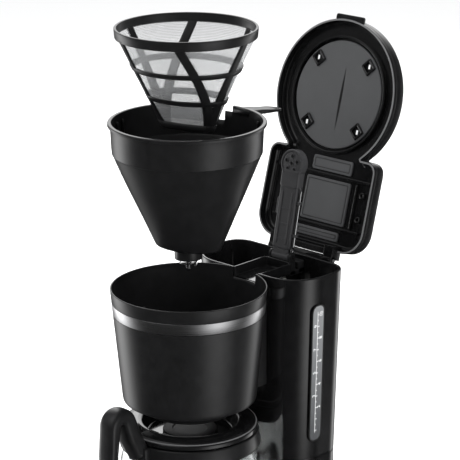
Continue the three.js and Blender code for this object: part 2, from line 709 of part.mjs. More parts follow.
function valvePlunger() {
  const low = BASKET_Z - BASKET_H - OUTLET_H - 12;
  return turned([
    [0, low], [1.8, low], [2.4, low + 2], [2.4, VALVE_TOP - 2],
    [8.2, VALVE_TOP - 2], [8.2, VALVE_TOP], [0, VALVE_TOP],
  ], 12);
}

function valveSeal() {
  const z = VALVE_TOP - 2 - GAP;
  return turnedRing([[2.8, z], [7.6, z], [7.6, z - 1.8], [2.8, z - 1.8]], 12);
}

function valveSpring() {
  const low = BASKET_Z - BASKET_H - OUTLET_H - 6;
  const points = [];
  const turns = 3;
  for (let i = 0; i <= turns * 8; i += 1) {
    const t = (2 * Math.PI * i) / 8;
    points.push([8 * Math.cos(t), 8 * Math.sin(t), low + (12 * i) / (turns * 8)]);
  }
  return tube(points, 0.6, turns * 12, 5);
}

function buildBasket() {
  add('filter_basket', filterBasket(), BLACK_SATIN);
  add('drip_valve_plunger', valvePlunger(), STEEL);
  add('drip_valve_seal', valveSeal(), SILICONE);
  add('drip_valve_spring', valveSpring(), STEEL);
}

// ---- permanent filter --------------------------------------------------------------------
/** Level sections of the filter: a circle under the ring that closes to a flat wedge. */
function filterLevels(inset) {
  const top = FILTER_RING_H;
  const levels = [];
  for (const t of [0, 0.35, 0.7, 1]) {
    const z = FILTER_Z - top - t * (FILTER_H - top);
    const long = 64.3 + (WEDGE_HALF - 64.3) * t - inset;
    const short = 64.3 + (WEDGE_THICK - 64.3) * t - inset;
    levels.push([z, long, Math.max(short, 0.8)]);
  }
  return levels;
}

function filterFrame() {
  const top = FILTER_Z - FILTER_RING_H;
  const ring = turnedRing([
    [FILTER_R, FILTER_Z], [FILTER_R, top], [FILTER_R - 2.6, top], [FILTER_R - 2.6, FILTER_Z],
  ]);
  const skin = cut(
    lofted(filterLevels(0), FILTER_SIDES, LONG_AXIS),
    lofted(raisedTop(filterLevels(2)), FILTER_SIDES, LONG_AXIS));
  const low = FILTER_Z - FILTER_H;
  let bars = toManifold(block(-90, 90, -90, 90, low - 1, low + 8));
  for (const drop of [37, 66]) {
    const z = FILTER_Z - drop;
    bars = bars.add(toManifold(block(-90, 90, -90, 90, z - 2.5, z + 2.5)));
  }
  for (let i = 0; i < RIBS; i += 1) {
    const rib = block(8, 90, -4.5, 4.5, low - 1, top)
      .rotateZ(THREE.MathUtils.degToRad(RIB_ANGLE + i * 60));
    bars = bars.add(toManifold(rib));
  }
  const lattice = bars.intersect(toManifold(skin));
  return fromManifold(lattice.add(toManifold(ring)));
}

/** The same levels, with the top one carried up so that a cut leaves an open top. */
function raisedTop(levels) {
  const [[z, long, short], ...rest] = levels;
  return [[z + 20, long, short], [z, long, short], ...rest];
}

function filterMesh() {
  const outer = lofted(filterLevels(2.3), FILTER_SIDES, LONG_AXIS);
  const inner = lofted(raisedTop(filterLevels(2.9)), FILTER_SIDES, LONG_AXIS);
  const skin = toManifold(outer).subtract(toManifold(inner));
  const low = FILTER_Z - FILTER_H;
  return fromManifold(skin.subtract(toManifold(block(-90, 90, -90, 90, low - 5, low + 8 + GAP))));
}

function buildFilter() {
  add('filter_frame', filterFrame(), BLACK_SATIN);
  add('filter_mesh', filterMesh(), MESH_GREY);
}

// ---- carafe ------------------------------------------------------------------------------
function carafeGlass() {
  const outer = CARAFE_PROFILE.map(([r, z]) => [r, CARAFE_Z + z]);
  const inner = CARAFE_PROFILE.map(([r, z], i) => [
    Math.max(r - CARAFE_WALL, 0),
    CARAFE_Z + (i < 3 ? z + CARAFE_WALL : z),
  ]);
  return turned([...outer, ...inner.reverse()]);
}

function carafeCollar() {
  const low = CARAFE_NECK_Z - 16;
  return turnedRing([
    [62, CARAFE_NECK_Z - 1], [65.5, CARAFE_NECK_Z - 1], [67.5, low + 2], [67, low], [63.6, low],
    [62, low + 4],
  ]);
}

function carafeLid() {
  const z = CARAFE_NECK_Z + GAP;
  const plug = LID_RING_R - 6.5;
  return turned([
    [0, z - 8], [plug, z - 8], [plug, z], [LID_RING_R - 3, z], [LID_RING_R, z + 1.5],
    [LID_RING_R - 1, z + 4.5], [LID_RING_R - 7, z + 7.5], [LID_RING_R - 15, z + 8.3],
    [LID_RING_R - 19, z + 7], [LID_RING_R - 22, z], [LID_RING_R - 24, z - 5], [0, z - 5],
  ]);
}

/** D-shaped grip in the plane x = 0, joined to the collar by its two limbs. */
function carafeHandle() {
  const side = new THREE.Shape();
  side.moveTo(-68.4, CARAFE_NECK_Z - 2);
  side.lineTo(-68.4, CARAFE_NECK_Z - 14);
  side.lineTo(-80, CARAFE_NECK_Z - 12);
  side.quadraticCurveTo(-88, CARAFE_NECK_Z - 4, -92, CARAFE_NECK_Z + 14);
  side.quadraticCurveTo(-99, CARAFE_NECK_Z + 16, -100, CARAFE_NECK_Z - 6);
  side.quadraticCurveTo(-102, 96, -92, 72);
  side.lineTo(-71.4, 70);
  side.lineTo(-71.4, 62);
  side.lineTo(-92, 60);
  side.quadraticCurveTo(-114, 84, -114, CARAFE_NECK_Z - 2);
  side.quadraticCurveTo(-112, 196, -94, 199);
  side.quadraticCurveTo(-84, 196, -78, CARAFE_NECK_Z + 12);
  side.closePath();
  const width = 20;
  return new THREE.ExtrudeGeometry(side, { depth: width, bevelEnabled: false, curveSegments: 6 })
    .rotateX(Math.PI / 2).rotateZ(Math.PI / 2).translate(-width / 2, 0, 0);
}

function buildCarafe() {
  add('carafe_glass', carafeGlass(), CLEAR);
  add('carafe_collar', carafeCollar(), BLACK_SATIN);
  add('carafe_handle', carafeHandle(), BLACK_SATIN);
  add('carafe_lid', carafeLid(), BLACK_GLOSS);
  add('carafe_lid_hub', disc(26, CARAFE_NECK_Z - 4.4, CARAFE_NECK_Z - 1.5, 0, 0, FINE_ROUND),
    DARK_GREY);
}

// ---- assembly ----------------------------------------------------------------------------
buildBase();
buildWaterPath();
buildColumn();
buildHousing();
buildLid();
buildArm();
buildBasket();
buildFilter();
buildCarafe();
machine.position.y = -CENTRE_Y;

export default machine;
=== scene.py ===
"""Drip coffee maker: the visible surfaces, finishes, stage and camera, built around the
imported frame. Every shape is worked out with numpy in millimetres, in the machine's own
axes (the filter housing's axis at x = y = 0, the desk at z = 0), and is put into its mesh
in metres, in the frame's axes."""

import json
import math

import bmesh
import bpy
import numpy as np
from bpy.props import FloatProperty, FloatVectorProperty, PointerProperty
from mathutils import Matrix, Vector


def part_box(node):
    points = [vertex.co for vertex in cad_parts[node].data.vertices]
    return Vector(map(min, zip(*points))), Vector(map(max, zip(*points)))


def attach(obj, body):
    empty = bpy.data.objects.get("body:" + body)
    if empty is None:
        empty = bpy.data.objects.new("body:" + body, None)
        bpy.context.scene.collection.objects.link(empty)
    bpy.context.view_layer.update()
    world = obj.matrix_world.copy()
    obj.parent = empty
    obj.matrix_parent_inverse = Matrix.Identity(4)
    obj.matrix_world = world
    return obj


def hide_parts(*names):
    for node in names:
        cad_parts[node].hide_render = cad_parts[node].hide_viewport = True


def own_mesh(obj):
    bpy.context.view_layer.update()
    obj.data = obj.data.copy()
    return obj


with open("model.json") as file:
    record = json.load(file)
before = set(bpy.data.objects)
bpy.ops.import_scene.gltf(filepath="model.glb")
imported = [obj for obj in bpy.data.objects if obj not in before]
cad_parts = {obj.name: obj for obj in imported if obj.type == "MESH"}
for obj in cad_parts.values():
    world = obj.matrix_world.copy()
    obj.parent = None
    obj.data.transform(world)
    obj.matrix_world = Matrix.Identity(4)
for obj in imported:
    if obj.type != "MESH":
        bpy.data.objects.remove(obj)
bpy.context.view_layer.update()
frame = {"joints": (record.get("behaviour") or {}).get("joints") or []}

bl_info = {
    "name": "Drip Coffee Maker",
    "version": (1, 0, 0),
    "blender": (4, 5, 0),
    "location": "3D View > Sidebar > Coffee Maker",
    "description": "Builds the surfaces, finishes and stage of a drip coffee maker",
    "category": "Object",
}

# ---- places taken from the frame ---------------------------------------------------
MM = 0.001
HOUSING_R = 74.0
HOUSING_LOW, HOUSING_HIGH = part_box("filter_housing")
AXIS_Y = HOUSING_LOW.y + HOUSING_R * MM       # the housing's axis, in the frame


def millimetres(node):
    """A node's lowest and highest corner in millimetres, in the machine's axes."""
    low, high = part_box(node)
    shift = Vector((0, AXIS_Y, 0))
    return (low - shift) / MM, (high - shift) / MM


RIM_Z = HOUSING_HIGH.z / MM
BASKET_HIGH = millimetres("filter_basket")[1]
FILTER_HIGH = millimetres("filter_frame")[1]
GLASS_LOW, GLASS_HIGH = millimetres("carafe_glass")
BASE_LOW = millimetres("base_shell")[0]
COLUMN_LOW = millimetres("tank_shell")[0]
PLATE_LOW, PLATE_HIGH = millimetres("warming_plate")
JOINTS = {joint["name"]: joint for joint in frame["joints"]}


def joint_place(name):
    """A hinge's point in millimetres, in the machine's axes."""
    x, y, z = JOINTS[name]["pos_m"]
    return np.array([x / MM, (y - AXIS_Y) / MM, z / MM])


LID_HINGE = joint_place("lid_hinge")
ARM_PIVOT = joint_place("arm_pivot")
LID_OPEN = math.radians(105.8)
ARM_LEAN = math.radians(11.7)


# ---- outlines and profiles -----------------------------------------------------------
def rounded(corners, radii, closed=False, steps=5):
    """A polyline whose corners are replaced by arcs. Each arc touches both sides of its
    corner, and its radius is cut down where a side is too short for it."""
    corners = np.asarray(corners, float)
    count = len(corners)
    radii = np.broadcast_to(np.asarray(radii, float), (count,))
    out = []
    for i, corner in enumerate(corners):
        ends = not closed and i in (0, count - 1)
        if ends or radii[i] <= 0:
            out.append(corner[None])
            continue
        before = corners[i - 1] - corner
        after = corners[(i + 1) % count] - corner
        len_a, len_b = np.linalg.norm(before), np.linalg.norm(after)
        before, after = before / len_a, after / len_b
        half = math.acos(np.clip(before @ after, -1, 1)) / 2
        if half > math.pi / 2 - 1e-3:
            out.append(corner[None])
            continue
        reach = min(radii[i] / math.tan(half), 0.49 * len_a, 0.49 * len_b)
        radius = reach * math.tan(half)
        middle = before + after
        centre = corner + middle / np.linalg.norm(middle) * radius / math.sin(half)
        start, end = corner + before * reach - centre, corner + after * reach - centre
        turn = math.atan2(start[0] * end[1] - start[1] * end[0], start @ end)
        t = np.linspace(0, turn, steps + 1)
        c, s = np.cos(t), np.sin(t)
        arc = np.stack([start[0] * c - start[1] * s, start[0] * s + start[1] * c], 1)
        out.append(centre + arc)
    return np.concatenate(out)


def evenly(points, count):
    """A closed outline resampled to this many points, equally far apart."""
    loop = np.vstack([points, points[:1]])
    length = np.r_[0, np.cumsum(np.linalg.norm(np.diff(loop, axis=0), axis=1))]
    at = np.linspace(0, length[-1], count, endpoint=False)
    return np.stack([np.interp(at, length, loop[:, k]) for k in range(2)], 1)


def softened(points, sigma, spacing):
    """A closed outline of equal steps, each point averaged with its neighbours by a bell
    curve, which rounds inside corners and leaves wide curves as they are."""
    reach = int(4 * sigma / spacing) + 1
    offsets = np.arange(-reach, reach + 1)
    weights = np.exp(-0.5 * (offsets * spacing / sigma) ** 2)
    weights /= weights.sum()
    return sum(w * np.roll(points, k, axis=0) for w, k in zip(weights, offsets))


def outward(points):
    """Unit normals of a closed outline that runs counter-clockwise, pointing outwards."""
    along = np.roll(points, -1, 0) - np.roll(points, 1, 0)
    normal = np.stack([along[:, 1], -along[:, 0]], 1)
    return normal / np.linalg.norm(normal, axis=1)[:, None]


def rounded_rectangle(x0, x1, y0, y1, front_r, back_r, steps=16):
    """Counter-clockwise rectangle with one radius at the front and one at the back."""
    corners = [(x0, y0), (x1, y0), (x1, y1), (x0, y1)]
    return rounded(corners, [front_r, front_r, back_r, back_r], closed=True, steps=steps)


# ---- meshes --------------------------------------------------------------------------
def outside_volume(points, faces):
    """Signed volume of a mesh: the sum over its faces, cut into fans, of each triangle's
    corner product over six."""
    total = 0.0
    for size in {len(face) for face in faces}:
        rows = np.array([face for face in faces if len(face) == size])
        first = points[rows[:, 0]]
        for k in range(1, size - 1):
            cross = np.cross(points[rows[:, k]], points[rows[:, k + 1]])
            total += (first * cross).sum() / 6
    return total


def piece(name, points, faces, material, body, slot, replaced=(), smooth=True):
    """Puts points in millimetres and faces into a mesh, outside out, in the frame's
    metres, and says which body it rides on and the nodes that it stands for. Its slot
    is not used."""
    points = np.asarray(points, float)
    if outside_volume(points - points.mean(0), faces) < 0:
        faces = [face[::-1] for face in faces]
    metres = points * MM
    metres[:, 1] += AXIS_Y
    mesh = bpy.data.meshes.new(name)
    mesh.from_pydata(metres, [], faces)
    mesh.validate()
    mesh.polygons.foreach_set("use_smooth", np.full(len(mesh.polygons), smooth))
    mesh.update()
    thing = bpy.data.objects.new(name, mesh)
    bpy.context.scene.collection.objects.link(thing)
    weld(thing)
    thing.data.materials.append(material)
    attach(thing, body)
    if replaced:
        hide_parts(*replaced)
    return thing


def weld(thing, distance=2e-6):
    """Merges points that lie on each other, which also drops the faces of no area."""
    work = bmesh.new()
    work.from_mesh(thing.data)
    bmesh.ops.remove_doubles(work, verts=work.verts, dist=distance)
    work.to_mesh(thing.data)
    work.free()


def grid_faces(rows, columns, close_rows, close_columns):
    """Quads between neighbouring points of a grid that is numbered row by row."""
    i = np.arange(rows if close_rows else rows - 1)
    j = np.arange(columns if close_columns else columns - 1)
    i, j = np.meshgrid(i, j, indexing="ij")
    k, m = (i + 1) % rows, (j + 1) % columns
    quads = np.stack([i * columns + j, i * columns + m, k * columns + m, k * columns + j], -1)
    return quads.reshape(-1, 4).tolist()


def closed_grid(grid, close_rows=False):
    """Points and faces of a grid whose columns close. Where the rows don't close, each end
    is one face."""
    grid = np.asarray(grid, float)
    rows, columns = grid.shape[:2]
    points = grid.reshape(-1, 3)
    faces = grid_faces(rows, columns, close_rows, True)
    if close_rows:
        return points, faces
    first, last = list(range(columns)), list(range((rows - 1) * columns, rows * columns))
    return points, faces + [first[::-1], last]


def revolved(profile, segments=96, centre=(0, 0)):
    """Grid of a profile turned about the vertical axis: x = r cos t, y = r sin t."""
    t = np.linspace(0, 2 * np.pi, segments, endpoint=False)
    r, z = np.asarray(profile, float).T
    x = r[:, None] * np.cos(t) + centre[0]
    y = r[:, None] * np.sin(t) + centre[1]
    return np.stack([x, y, np.broadcast_to(z[:, None], x.shape)], -1)


def raised(outline, profile):
    """Grid of an outline carried along a profile of (inset, height): each point moves in
    along its normal by the inset."""
    normal = outward(outline)
    inset, z = np.asarray(profile, float).T
    flat = outline[None] - inset[:, None, None] * normal[None]
    height = np.broadcast_to(z[:, None, None], flat.shape[:2] + (1,))
    return np.concatenate([flat, height], -1)


def slab_profile(low, high, edge, steps=4):
    """Profile of a plate: in from its underside, round its lower edge, up, round its
    upper edge and in again, with a ring of points close inside each flat face."""
    corners = [(edge * 3, low), (0, low), (0, high), (edge * 3, high)]
    return rounded(corners, edge, steps=steps)


def swept(section, path, up):
    """Grid of a closed section carried along a path. At each point the section's first
    axis lies along up made square to the path, and its second across both."""
    path, up = np.asarray(path, float), np.asarray(up, float)
    along = np.gradient(path, axis=0)
    along /= np.linalg.norm(along, axis=1)[:, None]
    up = np.broadcast_to(up, path.shape)
    first = up - (up * along).sum(1)[:, None] * along
    first /= np.linalg.norm(first, axis=1)[:, None]
    second = np.cross(along, first)
    section = np.asarray(section, float)
    if section.ndim == 2:
        section = np.broadcast_to(section, (len(path),) + section.shape)
    return (path[:, None] + section[..., :1] * first[:, None]
            + section[..., 1:] * second[:, None])


def circle(radius, sides=16):
    t = np.linspace(0, 2 * np.pi, sides, endpoint=False)
    return np.stack([radius * np.cos(t), radius * np.sin(t)], 1)


def bar_section(across, along, edge, steps=3):
    """Closed rounded rectangle, across by along, about the origin."""
    a, b = across / 2, along / 2
    corners = [(-a, -b), (a, -b), (a, b), (-a, b)]
    return rounded(corners, edge, closed=True, steps=steps)


def rounded_block(low, high, edge, steps=3):
    """Points and faces of a box with rounded upright and level edges."""
    (x0, y0, z0), (x1, y1, z1) = low, high
    outline = rounded([(x0, y0), (x1, y0), (x1, y1), (x0, y1)], edge, True, steps)
    inset = min(edge, (z1 - z0) / 2.05)
    corner = rounded([(edge, z0), (0, z0), (0, z1), (edge, z1)], inset, steps=steps)
    return closed_grid(raised_about(outline, corner))


def raised_about(outline, profile):
    """Grid of a convex outline drawn in towards its middle, instead of along its normals,
    which keeps small corners from crossing."""
    middle = outline.mean(0)
    size = np.abs(outline - middle).max(0)
    inset, z = np.asarray(profile, float).T
    scale = 1 - inset[:, None] / size
    flat = middle + (outline - middle)[None] * scale[:, None]
    height = np.broadcast_to(z[:, None, None], flat.shape[:2] + (1,))
    return np.concatenate([flat, height], -1)


def opened(points):
    """Turns the closed lid's points about its hinge, back to where it stands open."""
    return turned_about_x(points, LID_HINGE, -LID_OPEN)


def lifted(points):
    """Places the water arm, drawn upright from its pivot, at its lean."""
    moved = np.asarray(points, float) + ARM_PIVOT
    return turned_about_x(moved, ARM_PIVOT, -ARM_LEAN)


def turned_about_x(points, pivot, angle):
    points = np.asarray(points, float) - pivot
    c, s = math.cos(angle), math.sin(angle)
    x, y, z = points.T
    return np.stack([x, y * c - z * s, y * s + z * c], 1) + pivot


def joined(*solids):
    """Several closed solids as one list of points and faces, each outside out."""
    points, faces, count = [], [], 0
    for solid_points, solid_faces in solids:
        solid_points = np.asarray(solid_points, float)
        if outside_volume(solid_points - solid_points.mean(0), solid_faces) < 0:
            solid_faces = [face[::-1] for face in solid_faces]
        points.append(solid_points)
        faces += [[corner + count for corner in face] for face in solid_faces]
        count += len(solid_points)
    return np.concatenate(points), faces


def lathe(profile, segments=96, centre=(0, 0), along="z"):
    """Closed solid of revolution. A profile that starts and ends on the axis gets a flat
    face at each end; any other closes on itself. along turns the axis to x or y."""
    profile = np.asarray(profile, float)
    on_axis = abs(profile[0, 0]) < 1e-6 and abs(profile[-1, 0]) < 1e-6
    if on_axis:
        solid = closed_grid(revolved(profile[1:-1], segments, (0, 0)))
    else:
        solid = closed_grid(revolved(profile, segments, (0, 0)), close_rows=True)
    points, faces = solid
    if along == "x":
        points = points[:, [2, 0, 1]]
    elif along == "y":
        points = points[:, [1, 2, 0]]
    points = points + np.array([centre[0], centre[1], centre[2] if len(centre) > 2 else 0])
    return points, faces


def cut_profile(profile, top, level):
    """The same profile with everything above a level brought down to it: the points before
    its top keep to the outer wall and the points after it to the inner wall."""
    r, z = profile.T
    outer = np.interp(level, z[:top + 1], r[:top + 1])
    inner = np.interp(level, z[top:][::-1], r[top:][::-1])
    side = np.where(np.arange(len(z)) <= top, outer, inner)
    above = z > level
    return np.stack([np.where(above, side, r), np.where(above, level, z)], 1)


def stepped_angles(count, edges):
    """Even angles round a circle, with a close pair of angles at every edge in degrees."""
    even = np.linspace(0, 360, count, endpoint=False)
    pairs = np.array([[edge - 0.04, edge + 0.04] for edge in edges]).ravel()
    near = np.abs(even[:, None] - pairs[None]).min(1) < 0.6 if len(pairs) else even < 0
    return np.sort(np.concatenate([even[~near], pairs]))


# ---- shared finishes ---------------------------------------------------------------
def new_group(name, inputs, outputs):
    """An empty node group with these sockets, given as (name, type, default)."""
    group = bpy.data.node_groups.new(name, "ShaderNodeTree")
    for label, kind, default in inputs:
        socket = group.interface.new_socket(label, in_out="INPUT", socket_type=kind)
        if default is not None:
            socket.default_value = default
    for label, kind in outputs:
        group.interface.new_socket(label, in_out="OUTPUT", socket_type=kind)
    return group, group.nodes.new("NodeGroupInput"), group.nodes.new("NodeGroupOutput")


def maths(tree, operation, first, second=None):
    node = tree.nodes.new("ShaderNodeMath")
    node.operation = operation
    for socket, value in zip(node.inputs, (first, second)):
        if value is None:
            continue
        if isinstance(value, (int, float)):
            socket.default_value = value
        else:
            tree.links.new(value, socket)
    return node.outputs[0]


def noise(tree, vector, scale, detail=3.0, roughness=0.5):
    node = tree.nodes.new("ShaderNodeTexNoise")
    node.inputs["Scale"].default_value = scale
    node.inputs["Detail"].default_value = detail
    node.inputs["Roughness"].default_value = roughness
    tree.links.new(vector, node.inputs["Vector"])
    return node.outputs["Fac"]


def remapped(tree, value, low, high):
    """A value from 0 to 1 spread between low and high."""
    node = tree.nodes.new("ShaderNodeMapRange")
    node.inputs["To Min"].default_value = low
    node.inputs["To Max"].default_value = high
    tree.links.new(value, node.inputs["Value"])
    return node.outputs["Result"]


def moulded_group():
    """Moulded plastic: a fine spark-eroded grain in the height, and wide, weak patches and
    handling smudges in the colour and the roughness."""
    group, given, out = new_group(
        "moulded_plastic",
        [("Vector", "NodeSocketVector", None), ("Colour", "NodeSocketColor", (0, 0, 0, 1)),
         ("Roughness", "NodeSocketFloat", 0.4), ("Smudge", "NodeSocketFloat", 0.1)],
        [("Colour", "NodeSocketColor"), ("Roughness", "NodeSocketFloat"),
         ("Height", "NodeSocketFloat")])
    links = group.links
    vector = given.outputs["Vector"]
    wide = noise(group, vector, 14, 2)
    streak = noise(group, vector, 90, 5, 0.65)
    grain = noise(group, vector, 2600, 2, 0.6)
    smear = maths(group, "MULTIPLY", maths(group, "SUBTRACT", wide, 0.5), streak)
    spread = maths(group, "MULTIPLY", smear, given.outputs["Smudge"])
    rough = maths(group, "ADD", given.outputs["Roughness"], spread)
    links.new(rough, out.inputs["Roughness"])
    links.new(grain, out.inputs["Height"])
    tint = group.nodes.new("ShaderNodeMix")
    tint.data_type = "RGBA"
    tint.blend_type = "ADD"
    dust = maths(group, "MULTIPLY", remapped(group, streak, -0.4, 1.0), 0.012)
    links.new(maths(group, "MAXIMUM", dust, 0.0), tint.inputs["Factor"])
    links.new(given.outputs["Colour"], tint.inputs["A"])
    tint.inputs["B"].default_value = (0.6, 0.6, 0.62, 1)
    links.new(tint.outputs["Result"], out.inputs["Colour"])
    return group


def brushed_group():
    """Brushed metal: lines that run round the piece, as noise drawn out flat by a high
    frequency along the upright axis only."""
    group, given, out = new_group(
        "brushed_metal",
        [("Vector", "NodeSocketVector", None), ("Roughness", "NodeSocketFloat", 0.3),
         ("Depth", "NodeSocketFloat", 0.15)],
        [("Shade", "NodeSocketFloat"), ("Roughness", "NodeSocketFloat"),
         ("Height", "NodeSocketFloat")])
    stretch = group.nodes.new("ShaderNodeMapping")
    stretch.inputs["Scale"].default_value = (6, 6, 2400)
    group.links.new(given.outputs["Vector"], stretch.inputs["Vector"])
    lines = noise(group, stretch.outputs["Vector"], 1, 4, 0.7)
    centred = maths(group, "SUBTRACT", lines, 0.5)
    change = maths(group, "MULTIPLY", centred, given.outputs["Depth"])
    rough = maths(group, "ADD", given.outputs["Roughness"], change)
    group.links.new(rough, out.inputs["Roughness"])
    group.links.new(remapped(group, lines, 0.82, 1.0), out.inputs["Shade"])
    group.links.new(lines, out.inputs["Height"])
    return group


def weave_group():
    """Woven mesh: threads round the cone and threads down it. One set goes by the angle
    about the axis and the other by the height, and each is a sine squared."""
    group, given, out = new_group(
        "woven_mesh",
        [("Vector", "NodeSocketVector", None), ("Round", "NodeSocketFloat", 190.0),
         ("Upright", "NodeSocketFloat", 2400.0)],
        [("Thread", "NodeSocketFloat"), ("Height", "NodeSocketFloat")])
    split = group.nodes.new("ShaderNodeSeparateXYZ")
    group.links.new(given.outputs["Vector"], split.inputs[0])
    turn = maths(group, "ARCTAN2", split.outputs["Y"], split.outputs["X"])
    down = maths(group, "SINE", maths(group, "MULTIPLY", turn, given.outputs["Round"]))
    level = maths(group, "MULTIPLY", split.outputs["Z"], given.outputs["Upright"])
    across = maths(group, "SINE", level)
    thread = maths(group, "MAXIMUM", maths(group, "MULTIPLY", down, down),
                   maths(group, "MULTIPLY", across, across))
    group.links.new(thread, out.inputs["Thread"])
    group.links.new(thread, out.inputs["Height"])
    return group


def new_material(name):
    """A material with its Principled shader and its Object coordinates."""
    material = bpy.data.materials.new(name)
    material.use_nodes = True
    tree = material.node_tree
    shader = tree.nodes["Principled BSDF"]
    coords = tree.nodes.new("ShaderNodeTexCoord").outputs["Object"]
    return material, tree, shader, coords


def bump(tree, height, shader, strength, distance=0.0001):
    node = tree.nodes.new("ShaderNodeBump")
    node.inputs["Strength"].default_value = strength
    node.inputs["Distance"].default_value = distance
    tree.links.new(height, node.inputs["Height"])
    tree.links.new(node.outputs["Normal"], shader.inputs["Normal"])


def placed_group(tree, name, coords):
    node = tree.nodes.new("ShaderNodeGroup")
    node.node_tree = bpy.data.node_groups[name]
    tree.links.new(coords, node.inputs["Vector"])
    return node


def plastic(name, colour, roughness, smudge=0.15, grain=0.12, coat=0.0, specular=0.5):
    material, tree, shader, coords = new_material(name)
    group = placed_group(tree, "moulded_plastic", coords)
    group.inputs["Colour"].default_value = (*colour, 1)
    group.inputs["Roughness"].default_value = roughness
    group.inputs["Smudge"].default_value = smudge
    tree.links.new(group.outputs["Colour"], shader.inputs["Base Color"])
    tree.links.new(group.outputs["Roughness"], shader.inputs["Roughness"])
    shader.inputs["Coat Weight"].default_value = coat
    shader.inputs["Coat Roughness"].default_value = 0.04
    shader.inputs["Specular IOR Level"].default_value = specular
    bump(tree, group.outputs["Height"], shader, grain)
    return material


def metal(name, colour, roughness, depth=0.15):
    material, tree, shader, coords = new_material(name)
    group = placed_group(tree, "brushed_metal", coords)
    group.inputs["Roughness"].default_value = roughness
    group.inputs["Depth"].default_value = depth
    tint = tree.nodes.new("ShaderNodeMix")
    tint.data_type = "RGBA"
    tint.blend_type = "MIX"
    tint.inputs["A"].default_value = (*[c * 0.55 for c in colour], 1)
    tint.inputs["B"].default_value = (*colour, 1)
    tree.links.new(group.outputs["Shade"], tint.inputs["Factor"])
    tree.links.new(tint.outputs["Result"], shader.inputs["Base Color"])
    tree.links.new(group.outputs["Roughness"], shader.inputs["Roughness"])
    shader.inputs["Metallic"].default_value = 1.0
    bump(tree, group.outputs["Height"], shader, 0.15)
    return material


def mesh_material():
    """Woven plastic mesh: light passes it, more in the gaps than through the threads."""
    material, tree, shader, coords = new_material("woven_grey")
    centre = tree.nodes.new("ShaderNodeMapping")
    centre.inputs["Location"].default_value = (0, -AXIS_Y, 0)
    tree.links.new(coords, centre.inputs["Vector"])
    group = placed_group(tree, "woven_mesh", centre.outputs["Vector"])
    shader.inputs["Base Color"].default_value = (0.34, 0.345, 0.35, 1)
    tree.links.new(remapped(tree, group.outputs["Thread"], 0.55, 0.7),
                   shader.inputs["Roughness"])
    solid = remapped(tree, group.outputs["Thread"], 0.15, 0.42)
    tree.links.new(solid, shader.inputs["Alpha"])
    bump(tree, group.outputs["Height"], shader, 0.2)
    return material


def glass_material():
    """Clear glass with faint water marks in its roughness."""
    material, tree, shader, coords = new_material("carafe_clear")
    shader.inputs["Base Color"].default_value = (0.97, 0.99, 0.985, 1)
    shader.inputs["Transmission Weight"].default_value = 1.0
    shader.inputs["IOR"].default_value = 1.47
    marks = noise(tree, coords, 60, 4)
    tree.links.new(remapped(tree, marks, 0.0, 0.035), shader.inputs["Roughness"])
    return material


def window_material():
    """Smoked gauge plate: darker towards its bottom and paler towards its top."""
    material, tree, shader, coords = new_material("smoked_plate")
    split = tree.nodes.new("ShaderNodeSeparateXYZ")
    tree.links.new(coords, split.inputs[0])
    ramp = tree.nodes.new("ShaderNodeMapRange")
    ramp.inputs["From Min"].default_value = 0.12
    ramp.inputs["From Max"].default_value = 0.265
    tree.links.new(split.outputs["Z"], ramp.inputs["Value"])
    cloud = noise(tree, coords, 60, 3)
    level = maths(tree, "ADD", ramp.outputs["Result"], remapped(tree, cloud, -0.12, 0.12))
    tint = tree.nodes.new("ShaderNodeMix")
    tint.data_type = "RGBA"
    tint.inputs["A"].default_value = (0.05, 0.052, 0.055, 1)
    tint.inputs["B"].default_value = (0.2, 0.205, 0.21, 1)
    tree.links.new(level, tint.inputs["Factor"])
    tree.links.new(tint.outputs["Result"], shader.inputs["Base Color"])
    tree.links.new(remapped(tree, cloud, 0.12, 0.2), shader.inputs["Roughness"])
    return material


def lamp_material():
    material, tree, shader, coords = new_material("red_lens")
    ribs = noise(tree, coords, 900, 2)
    tint = tree.nodes.new("ShaderNodeMix")
    tint.data_type = "RGBA"
    tint.inputs["A"].default_value = (0.42, 0.01, 0.008, 1)
    tint.inputs["B"].default_value = (0.7, 0.03, 0.02, 1)
    tree.links.new(ribs, tint.inputs["Factor"])
    tree.links.new(tint.outputs["Result"], shader.inputs["Base Color"])
    tree.links.new(remapped(tree, ribs, 0.12, 0.25), shader.inputs["Roughness"])
    return material


def finish(name):
    """The finish of this name, which the finishes operator made."""
    return bpy.data.materials[name]


# ---- settings ------------------------------------------------------------------------
class FinishSettings(bpy.types.PropertyGroup):
    black: FloatVectorProperty(
        name="Black", description="Colour of the black plastic", subtype="COLOR",
        size=3, min=0, max=1, default=(0.006, 0.006, 0.0063))
    grey: FloatVectorProperty(
        name="Grey", description="Colour of the satin grey inside the lid",
        subtype="COLOR", size=3, min=0, max=1, default=(0.055, 0.056, 0.058))
    silver: FloatVectorProperty(
        name="Silver", description="Colour of the band round the filter housing",
        subtype="COLOR", size=3, min=0, max=1, default=(0.62, 0.62, 0.63))
    satin: FloatProperty(
        name="Satin", description="Roughness of the satin black plastic",
        default=0.3, min=0, max=1, subtype="FACTOR")
    gloss: FloatProperty(
        name="Gloss", description="Roughness of the gloss black plastic",
        default=0.1, min=0, max=1, subtype="FACTOR")


class ShapeSettings(bpy.types.PropertyGroup):
    rim_round: FloatProperty(
        name="Rim rounding", description="Radius along the rims, in millimetres",
        default=1.1, min=0.2, max=1.2)
    rib_width: FloatProperty(
        name="Filter rib width", description="Width of a filter rib, in millimetres",
        default=9.0, min=4, max=10)
    band_height: FloatProperty(
        name="Filter band height", description="Height of a filter band, in millimetres",
        default=5.0, min=3, max=7)


